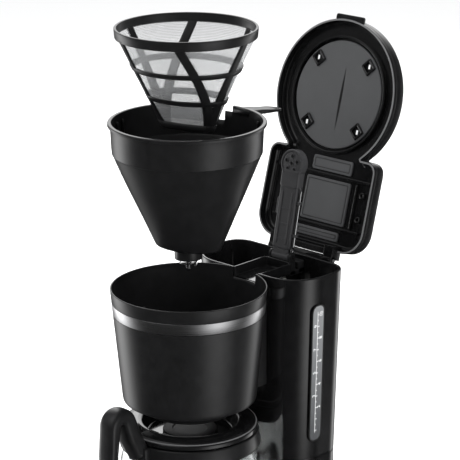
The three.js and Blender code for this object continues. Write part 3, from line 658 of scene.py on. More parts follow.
class StageSettings(bpy.types.PropertyGroup):
    floor: FloatVectorProperty(
        name="Floor", description="Colour of the floor", subtype="COLOR",
        size=3, min=0, max=1, default=(0.93, 0.93, 0.93))
    lens: FloatProperty(
        name="Lens", description="Focal length of the camera", default=180.06,
        min=20, unit="CAMERA")
    sky: FloatProperty(
        name="Sky", description="Strength of the light from all round",
        default=1.0, min=0)


class COFFEE_OT_finishes(bpy.types.Operator):
    """Make every finish of the coffee maker"""
    bl_idname = "coffee.finishes"
    bl_label = "Finishes"

    def execute(self, context):
        moulded_group()
        brushed_group()
        weave_group()
        look = context.scene.coffee_finish
        black = np.array(look.black)
        plastic("satin_black", black, look.satin, grain=0.04)
        plastic("gloss_black", black * 0.6, look.gloss, smudge=0.1, grain=0.01, coat=0.3)
        plastic("dark_grey_plastic", black * 5, 0.32, grain=0.05)
        plastic("hub_black", black, 0.5, grain=0.05, specular=0.2)
        plastic("satin_grey_plastic", look.grey, 0.34, grain=0.06)
        plastic("rubber", black * 1.4, 0.8, grain=0.3)
        plastic("milky_silicone", (0.62, 0.62, 0.6), 0.5, grain=0.05)
        # White for the printed gauge scale, and painted light in the lid's socket holes.
        plastic("white_print_and_painted_light", (0.8, 0.8, 0.8), 0.5, grain=0.05)
        # Near-black matte finish: the real colour of the gauge's bezel and the socket floors, and painted
        # shade for the lid's slot, the panel grooves and the shower holes.
        plastic("black_and_painted_shade", (0.002, 0.002, 0.002), 0.6, grain=0.05)
        # Grey painted highlight, for the lid's rim and the carafe lid's shoulder.
        plastic("painted_highlight_grey", (0.12, 0.12, 0.122), 0.3, grain=0.05)
        metal("brushed_band", look.silver, 0.3, 0.2)
        metal("bright_steel", (0.7, 0.7, 0.71), 0.22, 0.08)
        metal("cast_aluminium", (0.5, 0.5, 0.51), 0.42, 0.1)
        mesh_material()
        glass_material()
        window_material()
        lamp_material()
        return {"FINISHED"}


# ---- filter housing ------------------------------------------------------------------
HOUSING_H = RIM_Z - HOUSING_LOW.z / MM - 12    # rim down to the drum's bottom edge
HOUSING_SLOPE = 0.095
HOUSING_WALL = 1.5
REAR_GAP = 0.3                    # between the drum's flat back and the column
REAR_WALL = 0.06                  # the drum there, thinned to clear the seated basket
BAND_LOW, BAND_HIGH = millimetres("housing_band")
COLUMN_FRONT = (HOUSING_HIGH.y - AXIS_Y) / MM + 0.3
NECK_HALF = 34.0
TROUGH_LEFT, TROUGH_RIGHT, TROUGH_DEPTH = -10.0, 22.0, 9.6


def housing_radius(z):
    return HOUSING_R - HOUSING_SLOPE * (RIM_Z - z)


def azimuth(x, radius):
    """Angle in degrees, on the rear half of a circle, of the point at this x."""
    return math.degrees(math.acos(x / radius))


class COFFEE_OT_housing(bpy.types.Operator):
    """Build the filter housing: a tapered drum open at the top, with a stepped floor and
    a well, a notch in its rear rim, a silver band, and a neck that joins it to the tank"""
    bl_idname = "coffee.housing"
    bl_label = "Filter housing"

    def execute(self, context):
        round_r = context.scene.coffee_shape.rim_round
        low = RIM_Z - HOUSING_H
        edge = housing_radius(low)
        groove = BAND_LOW.z - 0.3, BAND_HIGH.z + 0.3
        outer = [
            (15, low - 12), (41.5, low - 12), (46, low), (edge - 0.4, low),
            (housing_radius(low + 4), low + 4),
            (housing_radius(groove[0]), groove[0]), (housing_radius(groove[0]) - 0.7, groove[0] + 0.1),
            (housing_radius(groove[1]) - 0.7, groove[1] - 0.1), (housing_radius(groove[1]), groove[1]),
            (HOUSING_R, RIM_Z), (HOUSING_R - HOUSING_WALL, RIM_Z)]
        inner = [
            (HOUSING_R - HOUSING_WALL, RIM_Z - 4),
            (housing_radius(groove[1]) - HOUSING_WALL, groove[1]),
            (housing_radius(groove[0]) - HOUSING_WALL - 0.2, groove[0] - 2),
            (housing_radius(low + 44) - HOUSING_WALL - 0.2, low + 44),
            (housing_radius(low + 42) - HOUSING_WALL - 2.2, low + 42),
            (edge - HOUSING_WALL - 2.6, low + 4), (44, low + 4), (40.5, low - 10), (15, low - 10)]
        radii = [0.4, 1.5, 2, 3.5, 6, 0.15, 0.1, 0.1, 0.15, round_r * 0.8, round_r * 0.6,
                 1, 1, 1, 0.5, 0.6, 4, 1.5, 1.5, 0.4]
        profile = rounded(outer + inner, radii, steps=4)
        top = int(np.argmax(profile[:, 1]))
        notch = RIM_Z - TROUGH_DEPTH
        degrees = stepped_angles(240, [azimuth(TROUGH_RIGHT, HOUSING_R), azimuth(TROUGH_LEFT, HOUSING_R)])
        t = np.radians(degrees)
        plain = profile[:, None, :] + np.zeros((1, len(t), 1))
        lowered = cut_profile(profile, top, notch)[:, None, :] + np.zeros((1, len(t), 1))
        x_rim = HOUSING_R * np.cos(t)
        inside = (x_rim > TROUGH_LEFT) & (x_rim < TROUGH_RIGHT) & (np.sin(t) > 0)
        rz = np.where(inside[None, :, None], lowered, plain)
        x, y = rz[..., 0] * np.cos(t), rz[..., 0] * np.sin(t)
        flat = np.where(np.arange(len(profile)) <= top, COLUMN_FRONT - REAR_GAP,
                        COLUMN_FRONT - REAR_GAP - REAR_WALL)
        y = np.minimum(y, flat[:, None])
        drum = closed_grid(np.stack([x, y, rz[..., 1]], -1), close_rows=True)
        piece("filter_housing_drum", *drum, finish("satin_black"), "machine", "black_satin",
              ["filter_housing"])
        self.neck(low)
        self.band()
        self.rim_tabs()
        return {"FINISHED"}

    def neck(self, low):
        """The filler between the round drum and the flat tank: at each height its front
        follows the drum, y = root of r squared less x squared, and its back is flat."""
        z = np.linspace(low + 2, RIM_Z - 12, 24)[:, None]
        x = np.linspace(-NECK_HALF, NECK_HALF, 41)[None]
        back = COLUMN_FRONT - REAR_GAP
        round_front = np.sqrt((housing_radius(z) - 0.8) ** 2 - x ** 2)
        front = np.minimum(round_front, back - 0.1)
        x_rows, z_rows = np.broadcast_to(x, front.shape), np.broadcast_to(z, front.shape)
        near = np.stack([x_rows, front, z_rows], -1)
        far = np.stack([x_rows, np.full_like(front, back), z_rows], -1)[:, ::-1]
        solid = closed_grid(np.concatenate([near, far], 1))
        piece("housing_neck", *solid, finish("satin_black"), "machine", "black_satin",
              smooth=False)

    def band(self):
        """The silver band: its section carried round from one side of the neck to the
        other, as r times cosine and sine of the angle."""
        low, high = BAND_LOW.z, BAND_HIGH.z
        section = rounded(
            [(housing_radius(low) - 0.6, low), (housing_radius(low) + 0.02, low),
             (housing_radius(high) + 0.02, high), (housing_radius(high) - 0.6, high)],
            0.22, closed=True, steps=3)
        gap = math.asin((NECK_HALF + 0.4) / housing_radius(high))
        t = np.linspace(math.pi / 2 + gap, math.pi * 2.5 - gap, 200)[:, None]
        r, z = section[:, 0][None], section[:, 1][None]
        grid = np.stack([r * np.cos(t), r * np.sin(t), z + 0 * t], -1)
        piece("housing_band_ring", *closed_grid(grid), finish("brushed_band"), "machine",
              "brushed_silver", ["housing_band"])

    def rim_tabs(self):
        """Three small bosses on the drum's inner wall, outside the seated basket, and the
        low ring on the floor that the basket's outlet passes through."""
        tabs = [rounded_block((-68, -8, RIM_Z - 50), (-65.6, 8, RIM_Z - 38), 0.9),
                rounded_block((-28, -60, RIM_Z - 74), (-16, -56, RIM_Z - 66), 1.6),
                rounded_block((20, 60, RIM_Z - 60), (27, 62.2, RIM_Z - 50), 0.9)]
        guide = lathe([(15, RIM_Z - HOUSING_H - 10.2), (15, RIM_Z - HOUSING_H - 8.8),
                       (18, RIM_Z - HOUSING_H - 8.8), (18, RIM_Z - HOUSING_H - 10.2)], 48)
        piece("housing_bosses", *joined(*tabs, guide), finish("dark_grey_plastic"),
              "machine", "black_satin")


# ---- tank column ---------------------------------------------------------------------
COLUMN_W = 73.7
COLUMN_BACK = 146.0
COLUMN_RADII = (45.0, 20.0)
COLUMN_WALL = 2.5
SEAM_Z = COLUMN_LOW.z
HINGE_Y, HINGE_Z = LID_HINGE[1], LID_HINGE[2]
GAUGE_LOW, GAUGE_HIGH = millimetres("gauge_window")


TAPER_X, TAPER_Y = 0.00038, 0.00025    # share of its width and depth lost per mm of drop


def tapered(points):
    """Narrows a column shape downwards from the rim, as moulded parts are."""
    points = np.asarray(points, float).copy()
    drop = RIM_Z - points[..., 2]
    points[..., 0] *= 1 - TAPER_X * drop
    points[..., 1] = COLUMN_FRONT + (points[..., 1] - COLUMN_FRONT) * (1 - TAPER_Y * drop)
    return points


def column_outline(count=240):
    corners = rounded_rectangle(-COLUMN_W, COLUMN_W, COLUMN_FRONT, COLUMN_BACK, *COLUMN_RADII)
    return evenly(corners, count)


def with_steps(outline, edges, limit):
    """Adds a close pair of points at each x in edges along the outline's flat front, so that
    a notch there gets upright sides. limit is the y that the rest is sorted round."""
    extra = [(edge + side, COLUMN_FRONT) for edge in edges for side in (-0.03, 0.03)]
    points = np.vstack([outline, extra])
    front = np.abs(points[:, 1] - COLUMN_FRONT) < 1e-6
    flat = points[front]
    flat = flat[np.argsort(flat[:, 0])]
    rest = points[~front]
    turn = np.arctan2(rest[:, 1] - limit, rest[:, 0]) % (2 * np.pi)
    start = math.atan2(COLUMN_FRONT - limit, flat[-1, 0]) % (2 * np.pi)
    rest = rest[np.argsort((turn - start) % (2 * np.pi))]
    return np.vstack([flat, rest])


class COFFEE_OT_column(bpy.types.Operator):
    """Build the tank column: a tapered shell with a rounded plan, open at the top, with
    the trough for the basket's handle, the hinge bracket and the lugs of the water arm"""
    bl_idname = "coffee.column"
    bl_label = "Tank column"

    def execute(self, context):
        round_r = context.scene.coffee_shape.rim_round
        outline = with_steps(column_outline(), (TROUGH_LEFT, TROUGH_RIGHT), 110)
        wall, floor = COLUMN_WALL, SEAM_Z + 7
        profile = rounded(
            [(wall, floor - wall), (wall, SEAM_Z), (0, SEAM_Z), (0, RIM_Z), (wall, RIM_Z),
             (wall, floor), (wall + 6, floor)],
            [1, 0.3, 0.5, round_r, round_r * 0.8, 2.5, 0], steps=4)
        under = np.array([(wall + 6, floor - wall)])
        profile = np.vstack([under, profile])
        grid = raised(outline, profile)
        notch = ((outline[:, 0] > TROUGH_LEFT) & (outline[:, 0] < TROUGH_RIGHT)
                 & (outline[:, 1] < COLUMN_FRONT + 1))
        level = np.where(notch, RIM_Z - TROUGH_DEPTH, RIM_Z + 1)
        grid[..., 2] = np.minimum(grid[..., 2], level[None])
        points, faces = closed_grid(grid)
        shell = tapered(points), faces
        bracket = rounded_block(
            (-29, COLUMN_BACK - 1, HINGE_Z - 4), (29, HINGE_Y, HINGE_Z + 1), 0.8)
        barrel = lathe([(2, -29), (3.7, -29), (4, -28.7), (4, 28.7), (3.7, 29), (2, 29)], 32,
                       (0, HINGE_Y, HINGE_Z), "x")
        piece("tank_column", *joined(shell, self.trough(), bracket, barrel),
              finish("gloss_black"), "machine", "black_gloss", ["tank_shell"])
        self.lugs()
        return {"FINISHED"}

    def trough(self):
        """Open box: a rectangle in plan carried along a profile that runs up its outside,
        over its top and down its inside to the floor. Its front end is cut to the floor."""
        wall, back = 2.0, 118.4
        floor = RIM_Z - TROUGH_DEPTH
        outline = rounded([(TROUGH_LEFT - wall, COLUMN_FRONT + 0.5),
                           (TROUGH_RIGHT + wall, COLUMN_FRONT + 0.5),
                           (TROUGH_RIGHT + wall, back + wall), (TROUGH_LEFT - wall, back + wall)],
                          [0.1, 0.1, 5, 5], True, 6)
        outline = evenly(outline, 160)
        profile = rounded([(4, floor - wall), (0, floor - wall), (0, RIM_Z - 0.6),
                           (wall, RIM_Z - 0.6), (wall, floor), (4, floor)],
                          [0, 1.5, 0.7, 0.7, 1.5, 0], steps=4)
        grid = raised_about(outline, profile)
        front = (outline[:, 1] < COLUMN_FRONT + 3) & (np.abs(outline[:, 0] - 6) < 15.2)
        grid[..., 2] = np.where(front[None], np.minimum(grid[..., 2], floor), grid[..., 2])
        return closed_grid(grid)

    def lugs(self):
        """The bracket that holds the water arm: two rounded lugs, each with a boss round the
        pin, on a bridge that is thicker along its back."""
        x, y, z = ARM_PIVOT
        solids = [rounded_block((x - 14, y - 4, z - 18), (x + 14, y + 17.8, z - 13), 1.2),
                  rounded_block((x - 14, y + 8, z - 17), (x + 14, y + 17.8, z - 6), 1.2)]
        for side in (-1, 1):
            low_x, high_x = sorted((x + side * 11, x + side * 14))
            outline = rounded([(y - 4, z - 17), (y + 4, z - 17), (y + 4, z + 4.5), (y - 4, z + 4.5)],
                              [0.5, 0.5, 3.9, 3.9], True, 8)
            grid = raised_about(outline, slab_profile(low_x, high_x, 0.5))
            points, faces = closed_grid(grid)
            solids.append((points[:, [2, 0, 1]], faces))
            solids.append(lathe([(1.9, x + side * 14), (3.1, x + side * 14), (3.1, x + side * 14.4),
                                 (1.9, x + side * 14.4)], 24, (0, y, z), "x"))
        piece("arm_bracket_lugs", *joined(*solids), finish("satin_black"), "machine",
              "black_satin", ["arm_bracket"])


class COFFEE_OT_gauge(bpy.types.Operator):
    """Build the water gauge: a smoked plate with rounded ends in the tank's side, its dark
    surround, and a printed scale of ticks and plain numbers"""
    bl_idname = "coffee.gauge"
    bl_label = "Water gauge"

    def execute(self, context):
        y0, y1 = GAUGE_LOW.y - 1.3, GAUGE_HIGH.y + 1.3
        z0, z1 = GAUGE_LOW.z, GAUGE_HIGH.z
        half = (y1 - y0) / 2
        plate = self.slot_shape(y0, y1, z0, z1, half - 1.2, -1.5, 0.25, 0.25)
        piece("gauge_plate", *plate, finish("smoked_plate"), "machine", "smoked_window",
              ["gauge_window"])
        ring = self.surround(y0 - 1.6, y1 + 1.6, z0 - 1.6, z1 + 1.6, half + 0.4)
        piece("gauge_surround", *ring, finish("black_and_painted_shade"), "machine", "black_gloss")
        self.scale(y0, y1, z0, z1)
        return {"FINISHED"}

    def onto_wall(self, y, z, proud):
        """A point of the side wall, moved out of it: x from the wall's taper."""
        x = COLUMN_W * (1 - TAPER_X * (RIM_Z - z)) + proud
        return np.stack([x, y, z], -1)

    def slot_shape(self, y0, y1, z0, z1, radius, low, high, edge):
        outline = rounded([(y0, z0), (y1, z0), (y1, z1), (y0, z1)], radius, True, 10)
        flat = raised(outline, rounded([(2, low), (0, low), (0, high), (2, high)], edge, steps=3))
        points, faces = closed_grid(flat)
        return self.onto_wall(points[:, 0], points[:, 1], points[:, 2]), faces

    def surround(self, y0, y1, z0, z1, radius):
        outline = rounded([(y0, z0), (y1, z0), (y1, z1), (y0, z1)], radius, True, 10)
        flat = raised(outline, [(0, -0.6), (0, 0.1), (0.4, 0.22), (1.7, 0.16), (1.7, -0.6)])
        points, faces = closed_grid(flat, close_rows=True)
        return self.onto_wall(points[:, 0], points[:, 1], points[:, 2]), faces

    def scale(self, y0, y1, z0, z1):
        """An upright line with ticks, and a number beside each second tick. The numbers
        read along the gauge; each is a text turned into a mesh and laid on the wall."""
        marks = []
        middle = y0 + 0.44 * (y1 - y0)
        marks.append(((middle - 0.25, z0 + 8), (middle + 0.25, z1 - 6)))
        steps = 20
        heights = np.linspace(z0 + 10, z1 - 9, steps + 1)
        for i, height in enumerate(heights):
            reach = 2.6 if i % 2 == 0 else 1.5
            marks.append(((middle, height - 0.3), (middle + reach, height + 0.3)))
        solids = [self.mark(low, high) for low, high in marks]
        for i, number in enumerate((2, 4, 6, 8, 10)):
            height = heights[4 * (i + 1)]
            solids.append(self.number(str(number), middle + 5.0, height))
            if i < 4:
                solids.append(self.number(str(number + 1), middle - 2.6, height + 13))
        piece("gauge_scale", *joined(*solids), finish("white_print_and_painted_light"), "machine",
              "smoked_window", smooth=False)

    def mark(self, low, high):
        (a, c), (b, d) = low, high
        corners = np.array([(a, c), (b, c), (b, d), (a, d)])
        grid = np.stack([self.onto_wall(corners[:, 0], corners[:, 1], proud)
                         for proud in (0.2, 0.3)])
        return closed_grid(grid)

    def number(self, text, y, z):
        curve = bpy.data.curves.new("gauge_number", "FONT")
        curve.body = text
        curve.size = 5.6
        curve.extrude = 0.05
        curve.resolution_u = 3
        curve.align_x = "CENTER"
        curve.align_y = "CENTER"
        holder = bpy.data.objects.new("gauge_number", curve)
        bpy.context.scene.collection.objects.link(holder)
        bpy.context.view_layer.update()
        mesh = bpy.data.meshes.new_from_object(holder)
        flat = np.empty(len(mesh.vertices) * 3)
        mesh.vertices.foreach_get("co", flat)
        flat = flat.reshape(-1, 3)
        faces = [list(face.vertices) for face in mesh.polygons]
        bpy.data.objects.remove(holder)
        bpy.data.meshes.remove(mesh)
        return self.onto_wall(y - flat[:, 1], z + flat[:, 0], flat[:, 2] + 0.27), faces


# ---- base ----------------------------------------------------------------------------
BASE_R = 72.0
BASE_TOP = PLATE_HIGH.z - 4
BASE_BOTTOM = BASE_LOW.z
BASE_WALL = 2.5
SWITCH_LOW, SWITCH_HIGH = millimetres("switch_bezel")
ROCKER_LOW, ROCKER_HIGH = millimetres("power_switch")
LAMP_LOW, LAMP_HIGH = millimetres("indicator_lamp")
PLATE_R = 57.5


def base_outline(count=320):
    """Plan of the base: an arc at the front, straight sides, rounded back corners."""
    half = COLUMN_W * (1 - TAPER_X * (RIM_Z - SEAM_Z))
    back = COLUMN_FRONT + (COLUMN_BACK - COLUMN_FRONT) * (1 - TAPER_Y * (RIM_Z - SEAM_Z))
    start = math.acos(half / BASE_R)
    t = np.linspace(math.pi + start, 2 * math.pi - start, 120)
    arc = np.stack([BASE_R * np.cos(t), BASE_R * np.sin(t)], 1)
    rear = rounded([(half, arc[-1, 1]), (half, back), (-half, back), (-half, arc[0, 1])],
                   [0, COLUMN_RADII[1], COLUMN_RADII[1], 0], steps=14)
    return evenly(np.vstack([arc[:-1], rear[:-1]]), count)


class COFFEE_OT_base(bpy.types.Operator):
    """Build the base: a low shell with an arc at the front, the riser below the tank, the
    warming plate with its raised rim, the rocker switch, the lamp, the rubber feet and
    the ring at the cord's outlet"""
    bl_idname = "coffee.base"
    bl_label = "Base"

    def execute(self, context):
        outline = base_outline()
        wall, top = BASE_WALL, BASE_TOP
        profile = rounded(
            [(wall + 5, top - wall), (wall, top - wall), (wall, BASE_BOTTOM), (0.8, BASE_BOTTOM),
             (0, BASE_BOTTOM + 2), (0, top), (9, top)],
            [0, 1, 0.4, 0.5, 1, 3.5, 0], steps=5)
        shell = closed_grid(raised(outline, profile))
        piece("base_body", *shell, finish("satin_black"), "machine", "black_satin",
              ["base_shell"])
        self.riser()
        self.plate()
        self.switch()
        self.feet()
        self.gland()
        return {"FINISHED"}

    def riser(self):
        """The part of the base that carries the tank, the tank's plan carried up."""
        outline = column_outline()
        profile = rounded([(3, BASE_TOP - 2), (0, BASE_TOP - 2), (0, SEAM_Z - 1.6), (0.9, SEAM_Z - 1.6),
                           (0.9, SEAM_Z - 0.3), (6, SEAM_Z - 0.3)],
                          [0, 0, 0.5, 0.2, 0.2, 0], steps=3)
        points, faces = closed_grid(raised(outline, profile))
        level = points[:, 2].copy()
        points[:, 2] = SEAM_Z
        points = tapered(points)
        points[:, 2] = level
        piece("base_riser", points, faces, finish("gloss_black"), "machine", "black_satin")

    def plate(self):
        top = PLATE_HIGH.z
        under = PLATE_LOW.z
        profile = rounded(
            [(0, under), (PLATE_R - 4.4, under), (PLATE_R - 4.4, under + 2.3), (PLATE_R, under + 2.3),
             (PLATE_R, top), (PLATE_R - 4, top), (PLATE_R - 5.4, top - 1.6), (30, top - 1.6),
             (29, top - 1.9), (28, top - 1.6), (0, top - 1.6)],
            [0, 0.3, 0.3, 0.8, 1.2, 1.2, 0.8, 0.4, 0.4, 0.4, 0], steps=4)
        piece("warming_plate_disc", *lathe(profile, 128), finish("dark_grey_plastic"),
              "machine", "dark_grey", ["warming_plate"])

    def switch(self):
        x0, x1 = SWITCH_LOW.x, SWITCH_HIGH.x
        z0, z1 = SWITCH_LOW.z, SWITCH_HIGH.z
        y0, y1 = SWITCH_LOW.y, SWITCH_HIGH.y
        outline = rounded([(x0, z0), (x1, z0), (x1, z1), (x0, z1)], 2.5, True, 6)
        flat = raised(outline, rounded([(0, -y1), (0, -y0), (2.2, -y0), (2.2, -y1)],
                                       [0, 0.7, 0.5, 0], closed=True, steps=3))
        points, faces = closed_grid(flat, close_rows=True)
        points = np.stack([points[:, 0], -points[:, 2], points[:, 1]], 1)
        piece("switch_frame", points, faces, finish("gloss_black"), "machine", "black_gloss",
              ["switch_bezel"])
        radius = (ROCKER_HIGH.z - ROCKER_LOW.z) / 2
        y, z = (ROCKER_LOW.y + ROCKER_HIGH.y) / 2, (ROCKER_LOW.z + ROCKER_HIGH.z) / 2
        half = ROCKER_HIGH.x
        bar = rounded([(0, -half), (radius, -half), (radius, half), (0, half)], 1, steps=4)
        bars = [lathe(bar, 64, (0, y, z), "x")]
        bars.append(lathe([(radius - 0.4, -0.35), (radius - 0.05, -0.35), (radius - 0.05, 0.35),
                           (radius - 0.4, 0.35)], 64, (4, y, z), "x"))
        piece("switch_rocker_bar", *joined(*bars), finish("satin_black"), "rocker",
              "black_satin", ["power_switch"])
        lamp_r = (LAMP_HIGH.z - LAMP_LOW.z) / 2
        lens = rounded([(0, LAMP_LOW.y), (lamp_r, LAMP_LOW.y + 0.8), (lamp_r, LAMP_HIGH.y),
                        (0, LAMP_HIGH.y)], 0.8, steps=4)
        centre = ((LAMP_LOW.x + LAMP_HIGH.x) / 2, 0, (LAMP_LOW.z + LAMP_HIGH.z) / 2)
        piece("lamp_lens", *lathe(lens, 32, centre, "y"), finish("red_lens"), "machine",
              "red_lamp", ["indicator_lamp"])

    def feet(self):
        for node in ("foot_front_left", "foot_front_right", "foot_rear_left", "foot_rear_right"):
            low, high = millimetres(node)
            radius = (high.x - low.x) / 2
            centre = ((low.x + high.x) / 2, (low.y + high.y) / 2)
            profile = rounded([(0, 0.25), (radius * 0.5, 0.25), (radius * 0.56, 0), (radius - 0.4, 0),
                               (radius, high.z), (0, high.z)], [0, 0.2, 0.2, 0.6, 0, 0], steps=3)
            piece(f"{node}_pad", *lathe(profile, 48, centre), finish("rubber"), "machine",
                  "soft_black", [node])


    def gland(self):
        """The cord's outlet in the back: a soft ring that stands a little proud."""
        low, high = millimetres("cord_gland")
        radius = (high.x - low.x) / 2
        centre = ((low.x + high.x) / 2, 0, (low.z + high.z) / 2)
        ring = rounded([(3, high.y - 5), (radius, high.y - 5), (radius, high.y + 1.6),
                        (3, high.y + 1.6)], [0, 0, 0.8, 0.6], closed=True, steps=4)
        piece("cord_gland_ring", *lathe(ring, 48, centre, "y"), finish("rubber"), "machine",
              "soft_black", ["cord_gland"])


# ---- lid -----------------------------------------------------------------------------
LID_R = 74.3
LID_W = 68.0
LID_BACK = 151.0
LID_CORNER_R = 24.0
LID_FRONT = 58.0
LID_LOW, LID_HIGH = RIM_Z + 0.5, RIM_Z + 16.5
LID_WALL = 2.2


def lid_outline(count=420, soften=1.6):
    """Plan of the lid: a circle over the housing that runs into a rounded rectangle over
    the tank. The inside corners between the two are softened."""
    corner = LID_CORNER_R
    across = LID_W - corner
    meet = math.asin(LID_FRONT / LID_R)
    circle_t = np.linspace(math.pi - meet, 2 * math.pi + meet, 240)
    front = LID_R * np.stack([np.cos(circle_t), np.sin(circle_t)], 1)
    first = math.asin(min(1, (LID_R * math.cos(meet) - across) / corner))
    rear = rounded(
        [(LID_R * math.cos(meet), LID_FRONT), (LID_W, LID_FRONT), (LID_W, LID_BACK),
         (-LID_W, LID_BACK), (-LID_W, LID_FRONT), (-LID_R * math.cos(meet), LID_FRONT)],
        [0, corner - first, corner, corner, corner - first, 0], steps=20)
    outline = evenly(np.vstack([front, rear[1:-1]]), count)
    spacing = np.linalg.norm(outline[1] - outline[0])
    return softened(outline, soften, spacing)


def lid_bar(x0, x1, y0, y1, z0, z1, edge=0.8, radius=1.5):
    outline = rounded([(x0, y0), (x1, y0), (x1, y1), (x0, y1)], radius, True, 4)
    profile = rounded([(radius, z0), (0, z0), (0, z1), (radius, z1)], edge, steps=3)
    return closed_grid(raised_about(outline, profile))


class COFFEE_OT_lid(bpy.types.Operator):
    """Build the lid: a deep shell in a figure of eight, its gloss liner with a round rib,
    a satin disc with four sockets and a long slot, and the panels behind it. The lid is
    worked out closed and turned open about its hinge"""
    bl_idname = "coffee.lid"
    bl_label = "Lid"

    def add(self, name, solid, look, slot, replaced=(), smooth=True):
        points, faces = solid
        return piece(name, opened(points), faces, finish(look), "lid", slot, replaced, smooth)

    def execute(self, context):
        outline = lid_outline()
        low, high, wall = LID_LOW, LID_HIGH, LID_WALL
        profile = rounded(
            [(wall + 4, high - wall), (wall, high - wall), (wall, low), (0, low),
             (0, low + 4.2), (0.7, low + 4.5), (0.7, low + 5.1), (0, low + 5.4), (0, high - 0.6),
             (4, high), (9, high)],
            [0, 1.5, 0.5, 0.6, 0.15, 0.15, 0.15, 0.15, 2.2, 3, 0], steps=4)
        shell = closed_grid(raised(outline, profile))
        tab = rounded_block((-16, -LID_R - 4.2, low), (16, -LID_R + 3, low + 7.5), 2.2)
        lugs = []
        for x0, x1 in ((-41, -29.6), (29.6, 41)):
            lugs.append(rounded_block((x0, LID_BACK - 6, HINGE_Z - 3), (x1, HINGE_Y, RIM_Z + 6), 0.8))
            lugs.append(lathe(rounded([(2, x0), (4, x0), (4, x1), (2, x1)], [0.2, 0.6, 0.6, 0.2],
                                      True, 3), 48, (0, HINGE_Y, HINGE_Z), "x"))
        lugs.append(rounded_block((-28.6, LID_BACK - 2, low - 3), (28.6, LID_BACK + 4, low + 7), 0.8))
        self.add("lid_cover", joined(shell, tab, *lugs), "gloss_black", "black_gloss",
                 ["lid_shell"])
        # A grey ring on the lid's lower rim, painted highlight where light catches the rim.
        trim = raised(outline, rounded([(0.25, low - 0.15), (wall - 0.2, low - 0.15),
                                        (wall - 0.2, low + 0.4), (0.25, low + 0.4)], 0.2, True, 2))
        self.add("lid_edge", closed_grid(trim, close_rows=True), "painted_highlight_grey", "satin_grey")
        self.liner(outline)
        self.disc()
        self.panels()
        return {"FINISHED"}

    def liner(self, outline):
        """The inner plate, its rounded border, and the ribs that stand on it."""
        level = RIM_Z + 10
        profile = rounded([(9, level + 2.4), (LID_WALL + 0.2, level + 2.4), (LID_WALL + 0.2, level - 4),
                           (LID_WALL + 1.8, level - 4.6), (LID_WALL + 3.6, level), (9, level)],
                          [0, 0.4, 0.6, 0.7, 2.4, 0], steps=4)
        solids = [closed_grid(raised(outline, profile))]
        rib = rounded([(56, level + 0.5), (56, level - 5), (58.5, level - 5), (58.5, level + 0.5)],
                      [0, 0.9, 0.9, 0], True, 4)
        solids.append(lathe(rib, 160))
        for y0, y1, half in ((77.6, 80.6, 60), (127.6, 130.2, 56)):
            solids.append(lid_bar(-half, half, y0, y1, level - 3.2, level + 0.6))
        for x in (-44, 44):
            solids.append(lid_bar(x - 1.2, x + 1.2, 82, 127, level - 3, level + 0.6))
        for x, y in ((-52, 92), (-52, 116), (52, 92), (52, 116)):
            solids.append(lathe([(1.4, level - 2.6), (3.4, level - 2.6), (3.4, level + 0.5),
                                 (1.4, level + 0.5)], 32, (x, y)))
        self.add("lid_lining", joined(*solids), "gloss_black", "black_gloss", ["lid_liner"])

    def disc(self):
        """The satin disc with its chamfered edge, four square sockets and a lens-shaped
        slot: half width = 1.5 times the cosine of the way along it. The slot is a thin
        black sheet, painted shade in place of the slot's dark inside."""
        low, high = RIM_Z + 6.5, RIM_Z + 9.7
        profile = rounded([(0, low), (53.5, low), (53.5, high), (0, high)], [0, 1.1, 0.5, 0], steps=5)
        self.add("lid_plate", lathe(profile, 192), "satin_grey_plastic", "satin_grey",
                 ["lid_disc"])
        rims, pits, lights = [], [], []
        for turn in np.radians(45 + 90 * np.arange(4)):
            centre = 45 * np.array([math.cos(turn), math.sin(turn)])
            rims.append(self.socket(centre, turn, 6.4, 4.0, low - 1.6, low + 0.3))
            pits.append(self.socket_floor(centre, turn, 4.0, low - 0.12, low + 0.2))
            # A small white block in each socket, painted light in place of the light seen through its
            # hole.
            spot = centre + np.array([math.cos(turn), math.sin(turn)]) * 0.9
            lights.append(rounded_block((spot[0] - 1.1, spot[1] - 2.2, low - 0.3),
                                        (spot[0] + 1.1, spot[1] + 2.2, low), 0.25))
        self.add("lid_sockets", joined(*rims), "gloss_black", "black_gloss")
        self.add("lid_socket_floors", joined(*pits), "black_and_painted_shade", "black_gloss")
        self.add("lid_socket_openings", joined(*lights), "white_print_and_painted_light", "silicone")
        # The slot: a thin black sheet on the disc, painted shade where the slot's dark inside is.
        along = np.linspace(-1, 1, 41)
        width = np.maximum(1.35 * np.cos(along * math.pi / 2), 0.05)
        x = np.concatenate([width, -width[1:-1][::-1]]) + 4
        y = np.concatenate([along, along[1:-1][::-1]]) * 31 + 4
        slot = np.stack([np.stack([x, y, np.full_like(x, z)], 1) for z in (low - 0.14, low + 0.3)])
        self.add("lid_slot", closed_grid(slot), "black_and_painted_shade", "black_gloss", smooth=False)

    def socket(self, centre, turn, outer, inner, z0, z1):
        """A square frame, rounded at its corners, turned to face the disc's middle."""
        half = bar_section(outer * 2, outer * 2, 1.4, 4)
        opening = inner / outer
        rings = [(1.0, z1), (1.0, z0 + 0.4), (0.93, z0), (opening, z0), (opening, z1)]
        c, s = math.cos(turn), math.sin(turn)
        turned = half @ np.array([[c, s], [-s, c]])
        grid = np.stack([np.concatenate([turned * size + centre, np.full((len(half), 1), z)], 1)
                         for size, z in rings])
        return closed_grid(grid, close_rows=True)

    def socket_floor(self, centre, turn, half, z0, z1):
        outline = bar_section(half * 2, half * 2, 0.8, 3)
        c, s = math.cos(turn), math.sin(turn)
        turned = outline @ np.array([[c, s], [-s, c]]) + centre
        grid = np.stack([np.concatenate([turned, np.full((len(outline), 1), z)], 1)
                         for z in (z0, z1)])
        return closed_grid(grid)

